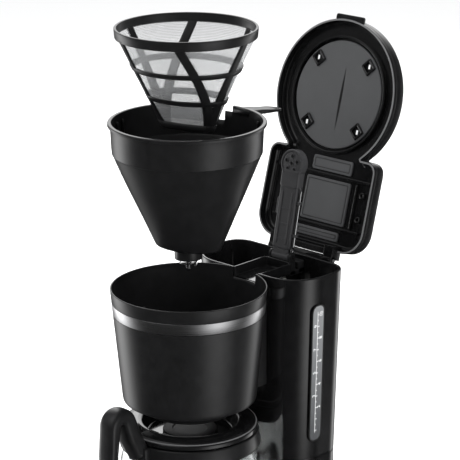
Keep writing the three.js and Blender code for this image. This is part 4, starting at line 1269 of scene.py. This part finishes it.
    def panels(self):
        """Three flat panels behind the disc, each with a thin black ring just inside its edge, painted
        shade where a groove is.
        """
        level = RIM_Z + 7.5
        places = {"front": (62, 76, -16, 34), "middle": (83, 126, -20, 36),
                  "rear": (133, 142, -22, 32)}
        for name, (y0, y1, x0, x1) in places.items():
            body = lid_bar(x0, x1, y0, y1, level, RIM_Z + 9.7, 0.5, 2)
            self.add(f"lid_panel_{name}_plate", body, "satin_grey_plastic", "satin_grey",
                     [f"lid_panel_{name}"])
            # The groove: a thin black ring on the panel's face, painted shade in place of a recess.
            outline = rounded([(x0 + 2.4, y0 + 2.4), (x1 - 2.4, y0 + 2.4), (x1 - 2.4, y1 - 2.4),
                               (x0 + 2.4, y1 - 2.4)], 1.2, True, 4)
            line = raised_about(outline, [(0, level + 0.2), (0, level - 0.12), (0.7, level - 0.12),
                                          (0.7, level + 0.2)])
            self.add(f"lid_panel_{name}_groove", closed_grid(line, close_rows=True),
                     "black_and_painted_shade", "black_gloss", smooth=False)


# ---- water arm -----------------------------------------------------------------------
ARM_W, ARM_T, ARM_LENGTH, HEAD_R = 21.0, 9.0, 91.0, 13.5


class COFFEE_OT_arm(bpy.types.Operator):
    """Build the water arm: a tapered channel on a pivot with two ridges, a collar, a round
    shower head with six holes, a clip and a thin tube along its side. It is worked out
    upright and leant back"""
    bl_idname = "coffee.arm"
    bl_label = "Water arm"

    def add(self, name, solid, look, slot, replaced=()):
        points, faces = solid
        return piece(name, lifted(points), faces, finish(look), "arm", slot, replaced)

    def execute(self, context):
        half, back = ARM_W / 2, ARM_T / 2
        solids = [self.bar(-half, half, 7, ARM_LENGTH - 8, -back, back, 2.2),
                  self.bar(-11, 11, ARM_LENGTH - 24, ARM_LENGTH - 6, -back - 0.7, back, 2.5),
                  self.bar(-9, 9, 0, 12, -back + 0.7, back - 0.7, 1.2)]
        for x in (-6.2, 6.2):
            solids.append(self.bar(x - 1.1, x + 1.1, 12, ARM_LENGTH - 28, -back - 0.65, -back + 1, 0.9))
        for z in (16, 31, 46):
            solids.append(self.bar(-5.2, 5.2, z, z + 1.4, -back - 0.5, -back + 1, 0.6))
        barrel = rounded([(2, -10.6), (4.2, -10.6), (4.2, 10.6), (2, 10.6)], [0.2, 0.7, 0.7, 0.2], True, 3)
        solids.append(lathe(barrel, 40, (0, 0, 0), "x"))
        head = rounded([(0, -back + 1.2), (HEAD_R - 2, -back + 1.2), (HEAD_R - 2, -back - 0.7),
                        (HEAD_R, -back - 0.7), (HEAD_R, back), (0, back)],
                       [0, 0.3, 0.5, 0.7, 1.6, 0], steps=5)
        solids.append(lathe(head, 96, (0, 0, ARM_LENGTH), "y"))
        self.add("water_arm_body", joined(*solids), "dark_grey_plastic", "dark_grey",
                 ["water_arm"])
        self.head_plate(back)
        self.side_tube()
        return {"FINISHED"}

    def bar(self, x0, x1, z0, z1, y0, y1, edge):
        """An upright rounded bar, as a plan in x and z carried through from y0 to y1."""
        outline = rounded([(x0, z0), (x1, z0), (x1, z1), (x0, z1)], edge, True, 4)
        soft = min(edge, (y1 - y0) / 2.1)
        profile = rounded([(soft, y0), (0, y0), (0, y1), (soft, y1)], soft * 0.9, steps=3)
        points, faces = closed_grid(raised_about(outline, profile))
        return points[:, [0, 2, 1]], faces

    def head_plate(self, back):
        """The shower plate, with a ring of five raised nozzles round a sixth. Each nozzle's
        hole is a black disc, painted shade in place of the hole's dark inside.
        """
        face = -back - 0.2
        radius = HEAD_R - 2.3
        disc = rounded([(0, face), (radius, face), (radius, face + 1.3), (0, face + 1.3)],
                       [0, 0.4, 0.2, 0], steps=4)
        solids = [lathe(disc, 72, (0, 0, ARM_LENGTH), "y")]
        angles = 2 * math.pi * (np.arange(5) + 0.25) / 5
        places = [(0, 0)] + [(7 * math.cos(t), 7 * math.sin(t)) for t in angles]
        holes = []
        for x, z in places:
            ring = rounded([(1.6, face + 0.3), (1.6, face - 0.5), (2.5, face - 0.5),
                            (2.7, face + 0.3)], [0, 0.2, 0.3, 0], True, 2)
            solids.append(lathe(ring, 24, (x, 0, ARM_LENGTH + z), "y"))
            # Each hole: a black disc inside its nozzle, painted shade in place of an opening.
            holes.append(lathe([(0, face - 0.15), (1.6, face - 0.15), (1.6, face + 0.2), (0, face + 0.2)],
                               24, (x, 0, ARM_LENGTH + z), "y"))
        self.add("shower_nozzles", joined(*solids), "dark_grey_plastic", "satin_grey",
                 ["shower_plate"])
        self.add("shower_holes", joined(*holes), "black_and_painted_shade", "black_satin")

    def side_tube(self):
        """The thin tube and its clips: a circle carried along a path that runs up beside
        the arm and bends in at both of its ends."""
        x = ARM_W / 2 + 2
        path = rounded([(x - 3.4, 6), (x, 10), (x, 66), (x - 3.4, 70)], 3, steps=5)
        route = np.stack([path[:, 0], 0 * path[:, 0], path[:, 1]], 1)
        tube = closed_grid(swept(circle(1.35, 14), route, (0, 1, 0)))
        ball = rounded([(0, -1.9), (1.9, -1.9), (1.9, 1.9), (0, 1.9)], 1.85, steps=6)
        knob = lathe(ball, 24, (x - 0.6, 0, 6), "z")
        self.add("arm_tube", joined(tube, knob), "bright_steel", "steel", ["arm_side_tube"])
        clips = [self.bar(ARM_W / 2 - 1, x + 1.9, z, z + 3, -2.2, 2.2, 0.8) for z in (20, 52)]
        left = -ARM_W / 2
        clips.append(self.bar(left - 2.6, left + 1, 40, 56, -3.2, 3.2, 1.2))
        self.add("arm_clips", joined(*clips), "dark_grey_plastic", "dark_grey")


# ---- brew basket ---------------------------------------------------------------------
BASKET_Z = BASKET_HIGH.z
BASKET_H = 122.0
LIP_R, BAND_R, SHOULDER_R = 73.4, 71.0, 69.0
SHOULDER_DROP = 30.0
CONE_SLOPE = 0.394
OVAL_SQUEEZE = 0.42         # share of the outer length that the width loses at the floor
LONG_AXIS = math.radians(15)
OUTLET_R, OUTLET_H = 13.0, 10.0


def basket_rings(profile, t):
    """Level sections of the basket: circles down to the shoulder, and below it ovals whose
    width is the length less a share of the outer length that grows as the square of the way
    down. At the floor the width is below zero within 14 mm of the axis, where it folds."""
    profile = np.asarray(profile, float)
    long, z = profile[..., 0], profile[..., 1]
    below = np.clip(BASKET_Z - SHOULDER_DROP - z, 0, None) / (BASKET_H - SHOULDER_DROP)
    full = SHOULDER_R - CONE_SLOPE * below * (BASKET_H - SHOULDER_DROP)
    short = np.where(below > 0, long - full * OVAL_SQUEEZE * np.minimum(below, 1) ** 2, long)
    if long.ndim == 1:
        long, short, z = long[:, None], short[:, None], z[:, None]
    x, y = long * np.cos(t), short * np.sin(t)
    c, s = math.cos(LONG_AXIS), math.sin(LONG_AXIS)
    return np.stack([x * c - y * s, x * s + y * c, z + 0 * x], -1)


class COFFEE_OT_basket(bpy.types.Operator):
    """Build the brew basket: a lipped band over an oval cone, with the overflow notch in
    its rear rim, six ribs inside, the outlet and the spoon-shaped handle"""
    bl_idname = "coffee.basket"
    bl_label = "Brew basket"

    def execute(self, context):
        top, shoulder = BASKET_Z, BASKET_Z - SHOULDER_DROP
        low = BASKET_Z - BASKET_H
        end = SHOULDER_R - CONE_SLOPE * (BASKET_H - SHOULDER_DROP)
        wall = 1.8
        outer = [(6, low), (end, low), (SHOULDER_R, shoulder), (SHOULDER_R + 0.7, shoulder + 0.9),
                 (BAND_R, top - 3.2), (LIP_R, top - 3), (LIP_R, top), (BAND_R - 1.3, top)]
        inner = [(BAND_R - 1.4, top - 4), (SHOULDER_R - 0.8, shoulder),
                 (SHOULDER_R - wall - 0.5, shoulder - 1),
                 (end - wall, low + wall), (6, low + wall)]
        radii = [0.3, 5, 0.6, 0.5, 0.3, 0.4, 0.9, 0.7, 1, 0.6, 0.5, 4, 0.3]
        profile = rounded(outer + inner, radii, steps=4)
        profile = self.subdivided(profile)
        crest = int(np.argmax(profile[:, 1]))
        edges = [azimuth(x, LIP_R) for x in (-8, -17, -29)]
        # A profile cut just under the lip comes before each end of the notch, so that the
        # side of the notch doesn't fold over itself below the lip.
        under_lip = (edges[0] - 0.02, edges[2] + 0.02)
        degrees = np.sort(np.append(stepped_angles(240, edges), under_lip))
        turn = np.radians(degrees)
        rz = profile[:, None, :] + np.zeros((1, len(turn), 1))
        for first, last, depth in ((edges[0], edges[1], 6.0), (edges[1], edges[2], 15.0)):
            inside = (degrees > first) & (degrees < last)
            lowered = cut_profile(profile, crest, top - depth)[:, None, :]
            rz = np.where(inside[None, :, None], lowered, rz)
        rz[:, np.isin(degrees, under_lip)] = cut_profile(profile, crest, top - 3.6)[:, None, :]
        grid = basket_rings(rz, turn[None] - LONG_AXIS)
        body = closed_grid(grid, close_rows=True)
        outlet = rounded([(OUTLET_R - 2, low + 0.5), (OUTLET_R - 2, low - OUTLET_H),
                          (OUTLET_R, low - OUTLET_H), (OUTLET_R, low - 2),
                          (OUTLET_R + 1.4, low + 0.5)],
                         [0, 0.5, 0.6, 1, 0], closed=True, steps=4)
        piece("brew_basket", *joined(body, lathe(outlet, 72), self.handle(), *self.ribs()),
              finish("satin_black"), "basket", "black_satin", ["filter_basket"])
        self.valve()
        return {"FINISHED"}

    def subdivided(self, profile, longest=9.0):
        """Points added along the long straight stretches, which curve as they go round."""
        out = [profile[:1]]
        for a, b in zip(profile[:-1], profile[1:]):
            count = max(1, int(np.ceil(np.linalg.norm(b - a) / longest)))
            out.append(a + (b - a) * (np.arange(1, count + 1) / count)[:, None])
        return np.concatenate(out)

    def handle(self):
        """The handle as level-headed ovals along y: its centre line dips towards the tip,
        and past the middle of the tip its half width is the root of 9.4 squared less the
        distance squared."""
        round_the_tip = 108 + 9.2 * np.sin(np.linspace(0.08, math.pi / 2, 16))
        y = np.concatenate([np.linspace(68, 108, 26), round_the_tip])
        tip = np.sqrt(np.clip(9.4 ** 2 - (y - 108) ** 2, 0.3, None))
        half = np.where(y > 108, tip, np.interp(y, [66, 78, 94, 108], [13, 10.6, 8.6, 9.4]))
        x = np.interp(y, [66, 96, 108], [6, 6.3, 6.5])
        top = np.interp(y, [66, 76, 86, 98, 108, 117.2], [-0.4, -0.4, -1.4, -3.6, -5.2, -7.0])
        thick = np.interp(y, [66, 76, 92, 104, 117.2], [6.4, 7.2, 6.6, 5.2, 3.4])
        t = np.linspace(0, 2 * np.pi, 28, endpoint=False)
        wide = np.sign(np.cos(t)) * np.abs(np.cos(t)) ** 0.7
        tall = np.sign(np.sin(t)) * np.abs(np.sin(t)) ** 0.7
        dish = np.clip(tall, 0, 1) * (1 - wide ** 2) * np.interp(y, [72, 96], [0, 2.6])[:, None]
        px = x[:, None] + half[:, None] * wide
        pz = (BASKET_Z + top - thick / 2)[:, None] + thick[:, None] / 2 * tall - dish
        return closed_grid(np.stack([px, y[:, None] + 0 * px, pz], -1))

    def ribs(self):
        """Six upright ribs inside the band that steady the filter's ring."""
        solids = []
        for degree in (196, 206, 250, 330, 18, 60):
            t = math.radians(degree)
            radial = np.array([math.cos(t), math.sin(t)])
            across = np.array([-radial[1], radial[0]])
            z = np.linspace(BASKET_Z - 27, BASKET_Z - 6, 8)
            reach = BAND_R - 1.3 - (BASKET_Z - z) * 0.05
            section = [(-0.9, 0), (-0.7, 2.2), (0.7, 2.2), (0.9, 0)]
            rings = [[radial * (r - depth) + across * side for side, depth in section] for r in reach]
            grid = np.concatenate([np.array(rings), np.broadcast_to(z[:, None, None], (8, 4, 1))], 2)
            solids.append(closed_grid(grid))
        return solids

    def valve(self):
        """The drip valve: a pin with a flat head, its seal, and a spring whose wire is a
        circle carried along a helix: x, y = 8 cos t, 8 sin t, rising evenly. The spring's
        upper end stays with the basket."""
        pin_low = millimetres("drip_valve_plunger")[0].z
        top = millimetres("drip_valve_plunger")[1].z
        pin = rounded([(0, pin_low), (1.8, pin_low), (2.4, pin_low + 2), (2.4, top - 2), (8.2, top - 2),
                       (8.2, top), (0, top)], [0, 0.8, 0.5, 0.4, 0.4, 0.6, 0], steps=4)
        piece("drip_pin", *lathe(pin, 40), finish("bright_steel"), "drip_valve", "steel",
              ["drip_valve_plunger"])
        seal_low, seal_high = (corner.z for corner in millimetres("drip_valve_seal"))
        seal = rounded([(2.8, seal_low), (7.6, seal_low), (7.6, seal_high), (2.8, seal_high)],
                       0.6, closed=True, steps=3)
        piece("drip_seal", *lathe(seal, 48), finish("milky_silicone"), "drip_valve",
              "silicone", ["drip_valve_seal"])
        spring_low, spring_high = (corner.z for corner in millimetres("drip_valve_spring"))
        t = np.linspace(0, 2 * np.pi * 4, 240)
        rise = np.linspace(spring_low + 0.6, spring_high - 0.6, len(t))
        helix = np.stack([8 * np.cos(t), 8 * np.sin(t), rise], 1)
        spring = piece("drip_spring", *closed_grid(swept(circle(0.6, 8), helix, (0, 0, 1))),
                       finish("bright_steel"), "basket", "steel", ["drip_valve_spring"])
        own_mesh(spring)


# ---- permanent filter ----------------------------------------------------------------
FILTER_Z = FILTER_HIGH.z
FILTER_R = 65.8
RING_H = 9.0
FILTER_H = 97.0


def wedge_axes(drop, inset):
    """Half length and half width of the filter, this far below its top: both shrink evenly
    from the ring to the wedge at the bottom."""
    t = (np.asarray(drop, float) - RING_H) / (FILTER_H - RING_H)
    long = 64.3 + (27 - 64.3) * t - inset
    short = np.maximum(64.3 + (4 - 64.3) * t - inset, 0.8)
    return long, short


def wedge_ring(drop, inset, t):
    long, short = wedge_axes(drop, inset)
    x, y = long[..., None] * np.cos(t), short[..., None] * np.sin(t)
    c, s = math.cos(LONG_AXIS), math.sin(LONG_AXIS)
    z = FILTER_Z - np.asarray(drop, float)[..., None] + 0 * x
    return np.stack([x * c - y * s, x * s + y * c, z], -1)


class COFFEE_OT_filter(bpy.types.Operator):
    """Build the permanent filter: a ring, six ribs, two bands and a foot that close to a
    wedge, with woven mesh behind them"""
    bl_idname = "coffee.filter"
    bl_label = "Permanent filter"

    def execute(self, context):
        shape = context.scene.coffee_shape
        top, under = FILTER_Z, FILTER_Z - RING_H
        ring = rounded([(FILTER_R - 2.6, under), (FILTER_R - 0.6, under), (FILTER_R, top - 2.6),
                        (FILTER_R, top), (FILTER_R - 2.6, top), (FILTER_R - 2.2, top - 2)],
                       [0.4, 0.6, 0.6, 0.7, 0.7, 0.4], closed=True, steps=4)
        solids = [lathe(ring, 160)]
        for index in range(6):
            solids.append(self.rib(index, shape.rib_width / 2))
        for drop in (37.0, 66.0):
            solids.append(self.band(drop, shape.band_height / 2))
        solids.append(self.foot())
        piece("filter_cage", *joined(*solids), finish("satin_black"), "filter", "black_satin",
              ["filter_frame"])
        t = np.linspace(0, 2 * np.pi, 144, endpoint=False)
        drops = np.linspace(RING_H - 1, FILTER_H - 7, 30)
        outer = wedge_ring(drops, 1.3, t)
        inner = wedge_ring(drops, 1.6, t)[::-1]
        sheet = closed_grid(np.concatenate([outer, inner]), close_rows=True)
        piece("filter_weave", *sheet, finish("woven_grey"), "filter", "filter_mesh",
              ["filter_mesh"])
        return {"FINISHED"}

    def rib(self, index, half):
        """A strip up the cone. Its place round the oval goes from its place on the ring to
        one end of the wedge, and its width is the same everywhere: the reach across, over
        how fast the oval's edge passes as the angle grows."""
        drops = np.linspace(RING_H - 1.5, FILTER_H - 1, 40)[:, None]
        start = math.radians(9 + 60 * index) - LONG_AXIS
        start = (start + math.pi / 2) % (2 * math.pi) - math.pi / 2
        end = 0.0 if start < math.pi / 2 else math.pi
        end += math.radians(26) * np.sign(round(math.sin(start), 1)) * (1 if end == 0 else -1)
        way = ((drops - RING_H) / (FILTER_H - RING_H)).clip(0, 1) ** 1.15
        middle = start + (end - start) * way
        across = np.concatenate([np.linspace(-1, 1, 7), np.linspace(1, -1, 7)])[None]
        inset = np.concatenate([np.full(7, -0.3), np.full(7, 1.9)])[None]
        soft = np.where(np.abs(across) > 0.99, 0.35, 0.0)
        inset = np.where(inset < 0, inset + soft, inset - soft)
        long, short = wedge_axes(drops, inset)
        speed = np.hypot(long * np.sin(middle), short * np.cos(middle))
        t = middle + np.clip(half / speed, 0, 0.55) * across
        x, y = long * np.cos(t), short * np.sin(t)
        c, s = math.cos(LONG_AXIS), math.sin(LONG_AXIS)
        return closed_grid(np.stack([x * c - y * s, x * s + y * c, FILTER_Z - drops + 0 * x], -1))

    def band(self, drop, half):
        t = np.linspace(0, 2 * np.pi, 144, endpoint=False)
        rows = [wedge_ring(drop + side * half, inset, t)
                for side, inset in ((-1, 0.0), (-0.8, -0.35), (0.8, -0.35), (1, 0.0), (1, 2.0), (-1, 2.0))]
        return closed_grid(np.stack(rows), close_rows=True)

    def foot(self):
        t = np.linspace(0, 2 * np.pi, 96, endpoint=False)
        drops = np.array([FILTER_H - 8, FILTER_H - 8, FILTER_H - 1, FILTER_H, FILTER_H])
        insets = (3.0, -0.3, -0.3, 0.8, 2.6)
        return closed_grid(np.stack([wedge_ring(d, i, t) for d, i in zip(drops, insets)]))


# ---- carafe --------------------------------------------------------------------------
GLASS_Z = GLASS_LOW.z
NECK_Z = GLASS_HIGH.z
LID_RING_R = 65.0


def pulled_out(points, reach, width, level, depth):
    """Draws a spout: points near the angle of the side are pushed out by a bell curve
    across the angle, times how high they are above the level."""
    angle = np.arctan2(points[:, 1], points[:, 0])
    away = np.exp(-(np.angle(np.exp(1j * (angle - math.pi))) / width) ** 2)
    rise = np.clip((points[:, 2] - level) / depth, 0, 1) ** 2
    radius = np.hypot(points[:, 0], points[:, 1])
    scale = 1 + reach * away * rise / np.maximum(radius, 1)
    moved = points.copy()
    moved[:, :2] *= scale[:, None]
    return moved


class COFFEE_OT_carafe(bpy.types.Operator):
    """Build the carafe: a blown glass jug, its collar and clamp, a hooped handle with a
    rounded section, and its lid with a raised ring, a hub and a thumb lever"""
    bl_idname = "coffee.carafe"
    bl_label = "Carafe"

    def execute(self, context):
        profile = [(0, 0), (56, 0), (65, 4.5), (69.3, 18), (70.4, 42), (69, 64), (66, 82), (61.5, 94),
                   (61.5, NECK_Z - GLASS_Z)]
        radii = [0, 9, 16, 40, 60, 70, 30, 14, 0]
        outer = rounded(np.array(profile), radii, steps=8) + [0, GLASS_Z]
        inner_profile = [(0, 2), (55, 2), (63.2, 6.2), (67.3, 18), (68.4, 42), (67, 64), (64, 82),
                         (59.5, 94), (59.5, NECK_Z - GLASS_Z)]
        inner = rounded(np.array(inner_profile), radii, steps=8) + [0, GLASS_Z]
        lip = rounded([outer[-1] - [0, 3], outer[-1], inner[-1], inner[-1] - [0, 3]], 0.95, steps=5)
        glass = np.vstack([outer[:-1], lip, inner[::-1][1:]])
        points, faces = lathe(glass, 144)
        piece("carafe_jug", pulled_out(points, 2.4, 0.2, NECK_Z - 16, 16), faces,
              finish("carafe_clear"), "carafe", "clear_glass", ["carafe_glass"])
        self.collar()
        self.handle()
        self.lid()
        return {"FINISHED"}

    def collar(self):
        low, high = NECK_Z - 16, NECK_Z - 1
        ring = rounded([(62, high), (65.5, high), (67.5, low + 2), (67, low), (63.6, low), (62, low + 4)],
                       [0.5, 1.2, 0.8, 0.6, 0.5, 1], closed=True, steps=4)
        solids = [lathe(ring, 144)]
        solids.append(rounded_block((-11.5, -72, low + 0.5), (11.5, -64.5, high + 0.5), 1.8))
        solids.append(rounded_block((-7.5, -72.4, 61), (7.5, -70.2, 71), 0.9))
        piece("carafe_collar_band", *joined(*solids), finish("satin_black"), "carafe",
              "black_satin", ["carafe_collar"])

    def handle(self):
        """The hoop as a rounded section carried along a path in the plane x = 0, thicker
        at the top of its arch than at its foot."""
        corners = [(-69.5, 143), (-80, 164), (-89, 188), (-104, 187), (-108, 150), (-104, 100),
                   (-93, 68), (-72.5, 66)]
        path = rounded(corners, [0, 20, 14, 16, 60, 60, 18, 0], steps=8)
        path = evenly_open(path, 120)
        route = np.stack([0 * path[:, 0], path[:, 0], path[:, 1]], 1)
        along = np.linspace(0, 1, len(route))
        thick = np.interp(along, [0, 0.1, 0.28, 0.45, 0.8, 1], [17, 18, 15, 12, 9.8, 8])
        wide = np.interp(along, [0, 0.15, 0.5, 1], [18, 19.6, 19.8, 16])
        t = np.linspace(0, 2 * np.pi, 32, endpoint=False)
        a = np.sign(np.cos(t)) * np.abs(np.cos(t)) ** 0.62
        b = np.sign(np.sin(t)) * np.abs(np.sin(t)) ** 0.62
        section = np.stack([wide[:, None] / 2 * a, thick[:, None] / 2 * b], -1)
        points, faces = closed_grid(swept(section, route, (1, 0, 0)))
        piece("carafe_grip", points, faces, finish("satin_black"), "carafe", "black_satin",
              ["carafe_handle"])

    def lid(self):
        z = NECK_Z + 0.3
        r = LID_RING_R
        profile = rounded(
            [(0, z - 8), (r - 6.5, z - 8), (r - 6.5, z), (r - 3, z), (r, z + 0.4), (r - 0.4, z + 4),
             (r - 4, z + 6.6), (r - 9, z + 8.1), (r - 15, z + 8.3), (r - 19, z + 7), (r - 22, z),
             (r - 24, z - 5), (0, z - 5)],
            [0, 1, 0.4, 0.4, 0.5, 1.6, 3, 4, 4, 3, 3, 1.5, 0], steps=5)
        points, faces = lathe(profile, 144)
        piece("carafe_cover", points, faces, finish("gloss_black"), "carafe",
              "black_gloss", ["carafe_lid"])
        hub = rounded([(0, z - 5), (26, z - 5), (26, z - 2), (17, z - 1.8), (16, z - 2.6),
                       (6, z - 2.6), (0, z - 2.6)],
                      [0, 0, 1, 0.5, 0.5, 0, 0], steps=4)
        pads = [rounded_block((-9, -44, z - 5.4), (9, -27, z - 2.2), 1.2),
                rounded_block((-6.5, -60, z + 4.4), (6.5, -47, z + 8.2), 1.6)]
        piece("carafe_hub", *joined(lathe(hub, 72), *pads), finish("hub_black"),
              "carafe", "dark_grey", ["carafe_lid_hub"])
        # A grey ring on the cover's rounded shoulder, painted highlight where light catches it.
        line = rounded([(r - 2.4, z + 5.45), (r - 1.2, z + 4.9), (r - 1.2, z + 4.1), (r - 2.4, z + 4.1)],
                       0.2, closed=True, steps=2)
        piece("carafe_cover_line", *lathe(line, 144), finish("painted_highlight_grey"), "carafe",
              "satin_grey")


def evenly_open(points, count):
    """An open path resampled to this many points, equally far apart."""
    length = np.r_[0, np.cumsum(np.linalg.norm(np.diff(points, axis=0), axis=1))]
    at = np.linspace(0, length[-1], count)
    return np.stack([np.interp(at, length, points[:, k]) for k in range(points.shape[1])], 1)


# ---- pieces kept from the frame --------------------------------------------------------
CARRIED = {
    "dark_grey_plastic": ("bottom_plate",),
    "bright_steel": ("bottom_screw_1", "bottom_screw_2", "bottom_screw_3", "bottom_screw_4",
                     "arm_pin", "hinge_pin", "thermostat", "check_valve"),
    "cast_aluminium": ("heater_tube", "thermal_fuse"),
    "milky_silicone": ("inlet_hose", "riser_tube"),
    "rubber": ("cord_gland",),
}


class COFFEE_OT_inner_parts(bpy.types.Operator):
    """Give the plates, screws, pins, hoses and heater inside the machine their finishes"""
    bl_idname = "coffee.inner_parts"
    bl_label = "Inner parts"

    def execute(self, context):
        for look, nodes in CARRIED.items():
            for node in nodes:
                thing = bpy.data.objects[node]
                thing.data.materials.clear()
                thing.data.materials.append(finish(look))
        return {"FINISHED"}


# ---- stage -----------------------------------------------------------------------------
CAMERA_PLACE = (1.430185, -1.524986, 0.979007)
CAMERA_TURN, CAMERA_TILT, CAMERA_ROLL = 43.3, 17.23, -0.25
# Soft lights that reflections see: angle in degrees from +X, sine of the height, strength
# and how narrow it is.
REFLECTED = ((-170, -0.25, 3.0, 20), (-2, -0.28, 1.5, 18), (82, -0.28, 1.7, 20),
             (133, 0.5, 3.0, 10), (-110, 0.8, 0.9, 8))


def camera_axes():
    """The camera's own axes: its back towards the viewer at the stated turn and tilt, its
    right level, and both rolled slightly about the back."""
    turn, tilt, roll = (math.radians(a) for a in (CAMERA_TURN, CAMERA_TILT, CAMERA_ROLL))
    back = Vector((math.sin(turn) * math.cos(tilt), -math.cos(turn) * math.cos(tilt), math.sin(tilt)))
    right = Vector((math.cos(turn), math.sin(turn), 0))
    up = back.cross(right)
    c, s = math.cos(roll), math.sin(roll)
    return c * right + s * up, c * up - s * right, back


class COFFEE_OT_stage(bpy.types.Operator):
    """Lay the floor, hang the soft lights and place the camera"""
    bl_idname = "coffee.stage"
    bl_label = "Stage"

    def execute(self, context):
        settings = context.scene.coffee_stage
        self.floor(settings)
        self.sky(context.scene, settings)
        right, up, back = camera_axes()
        self.softbox("key_left", (-1.5, -1.3, 1.1), 0.9, 1.5, 26)
        self.softbox("key_right", (1.9, 0.5, 1.0), 0.6, 1.6, 24)
        self.softbox("front_low", (0.5, -2.2, 0.7), 0.35, 0.9, 5)
        self.softbox("top", (-0.2, 0.3, 2.2), 1.2, 1.2, 20)
        self.softbox("rear_left", (-1.3, 1.3, 1.2), 0.7, 1.4, 20)
        camera_data = bpy.data.cameras.new("camera")
        camera_data.lens = settings.lens
        camera_data.sensor_width = 36
        camera_data.clip_end = 50
        camera = bpy.data.objects.new("camera", camera_data)
        axes = Matrix((right, up, back)).transposed().to_4x4()
        camera.matrix_world = Matrix.Translation(CAMERA_PLACE) @ axes
        context.scene.collection.objects.link(camera)
        context.scene.camera = camera
        context.scene.view_settings.view_transform = "Standard"
        return {"FINISHED"}

    def floor(self, settings):
        """A plain floor. It is left out of reflections, which see the sky below it."""
        size = 16
        mesh = bpy.data.meshes.new("floor")
        mesh.from_pydata([(-size, -size, 0), (size, -size, 0), (size, size, 0), (-size, size, 0)],
                         [], [(0, 1, 2, 3)])
        floor = bpy.data.objects.new("floor", mesh)
        bpy.context.scene.collection.objects.link(floor)
        material, tree, shader, coords = new_material("floor_paper")
        grain = noise(tree, coords, 40, 4)
        tint = tree.nodes.new("ShaderNodeMix")
        tint.data_type = "RGBA"
        tint.inputs["A"].default_value = (*[c * 0.99 for c in settings.floor], 1)
        tint.inputs["B"].default_value = (*settings.floor, 1)
        tree.links.new(grain, tint.inputs["Factor"])
        tree.links.new(tint.outputs["Result"], shader.inputs["Base Color"])
        shader.inputs["Roughness"].default_value = 0.9
        shader.inputs["Specular IOR Level"].default_value = 0.1
        mesh.materials.append(material)
        floor.visible_glossy = False

    def sky(self, scene, settings):
        """Even light from all round. Reflections see a dark room instead, with one soft
        tall light for each row of REFLECTED: its strength is the cosine between the ray
        and the light's direction, level with the floor, to a power."""
        world = bpy.data.worlds.new("studio")
        world.use_nodes = True
        tree = world.node_tree
        background = tree.nodes["Background"]
        background.inputs["Strength"].default_value = settings.sky
        coords = tree.nodes.new("ShaderNodeTexCoord").outputs["Generated"]
        total = tree.nodes.new("ShaderNodeValue").outputs[0]
        total.default_value = 0.018
        for degrees, height, strength, power in REFLECTED:
            turn = math.radians(degrees)
            dot = tree.nodes.new("ShaderNodeVectorMath")
            dot.operation = "DOT_PRODUCT"
            tree.links.new(coords, dot.inputs[0])
            level = math.sqrt(1 - height ** 2)
            dot.inputs[1].default_value = (math.cos(turn) * level, math.sin(turn) * level, height)
            facing = maths(tree, "MAXIMUM", dot.outputs["Value"], 0.0)
            lobe = maths(tree, "POWER", facing, power)
            total = maths(tree, "ADD", total, maths(tree, "MULTIPLY", lobe, strength))
        rays = tree.nodes.new("ShaderNodeLightPath")
        shade = tree.nodes.new("ShaderNodeMix")
        shade.data_type = "RGBA"
        shade.inputs["A"].default_value = (0.92, 0.925, 0.93, 1)
        tree.links.new(rays.outputs["Is Glossy Ray"], shade.inputs["Factor"])
        tree.links.new(total, shade.inputs["B"])
        tree.links.new(shade.outputs["Result"], background.inputs["Color"])
        scene.world = world

    def softbox(self, name, place, width, height, power):
        """A rectangular light turned to face the middle of the machine."""
        light = bpy.data.lights.new(name, "AREA")
        light.shape = "RECTANGLE"
        light.size, light.size_y = width, height
        light.energy = power
        lamp = bpy.data.objects.new(name, light)
        lamp.visible_glossy = False
        aim = Vector((0, 0, 0.3)) - Vector(place)
        lamp.matrix_world = Matrix.Translation(place) @ aim.to_track_quat("-Z", "Y").to_matrix().to_4x4()
        bpy.context.scene.collection.objects.link(lamp)


OPERATORS = (
    COFFEE_OT_finishes, COFFEE_OT_stage, COFFEE_OT_base, COFFEE_OT_column, COFFEE_OT_gauge,
    COFFEE_OT_housing, COFFEE_OT_lid, COFFEE_OT_arm, COFFEE_OT_basket, COFFEE_OT_filter,
    COFFEE_OT_carafe, COFFEE_OT_inner_parts)


class COFFEE_PT_panel(bpy.types.Panel):
    """Lists the steps that build the coffee maker, and the settings they use"""
    bl_idname = "COFFEE_PT_panel"
    bl_label = "Coffee Maker"
    bl_space_type = "VIEW_3D"
    bl_region_type = "UI"
    bl_category = "Coffee Maker"

    def draw(self, context):
        layout = self.layout
        for operator in OPERATORS:
            layout.operator(operator.bl_idname)
        for group in ("coffee_finish", "coffee_shape", "coffee_stage"):
            settings = getattr(context.scene, group)
            box = layout.box()
            for name in settings.__annotations__:
                box.prop(settings, name)


SETTINGS = {"coffee_finish": FinishSettings, "coffee_shape": ShapeSettings,
            "coffee_stage": StageSettings}


def register():
    for kind in (*SETTINGS.values(), *OPERATORS, COFFEE_PT_panel):
        bpy.utils.register_class(kind)
    for name, kind in SETTINGS.items():
        setattr(bpy.types.Scene, name, PointerProperty(type=kind))


def unregister():
    for name in SETTINGS:
        delattr(bpy.types.Scene, name)
    for kind in (COFFEE_PT_panel, *OPERATORS, *SETTINGS.values()):
        bpy.utils.unregister_class(kind)


def main():
    register()
    for operator in OPERATORS:
        step = operator.bl_idname.split(".")[1]
        getattr(bpy.ops.coffee, step)()


if __name__ == "__main__":
    main()
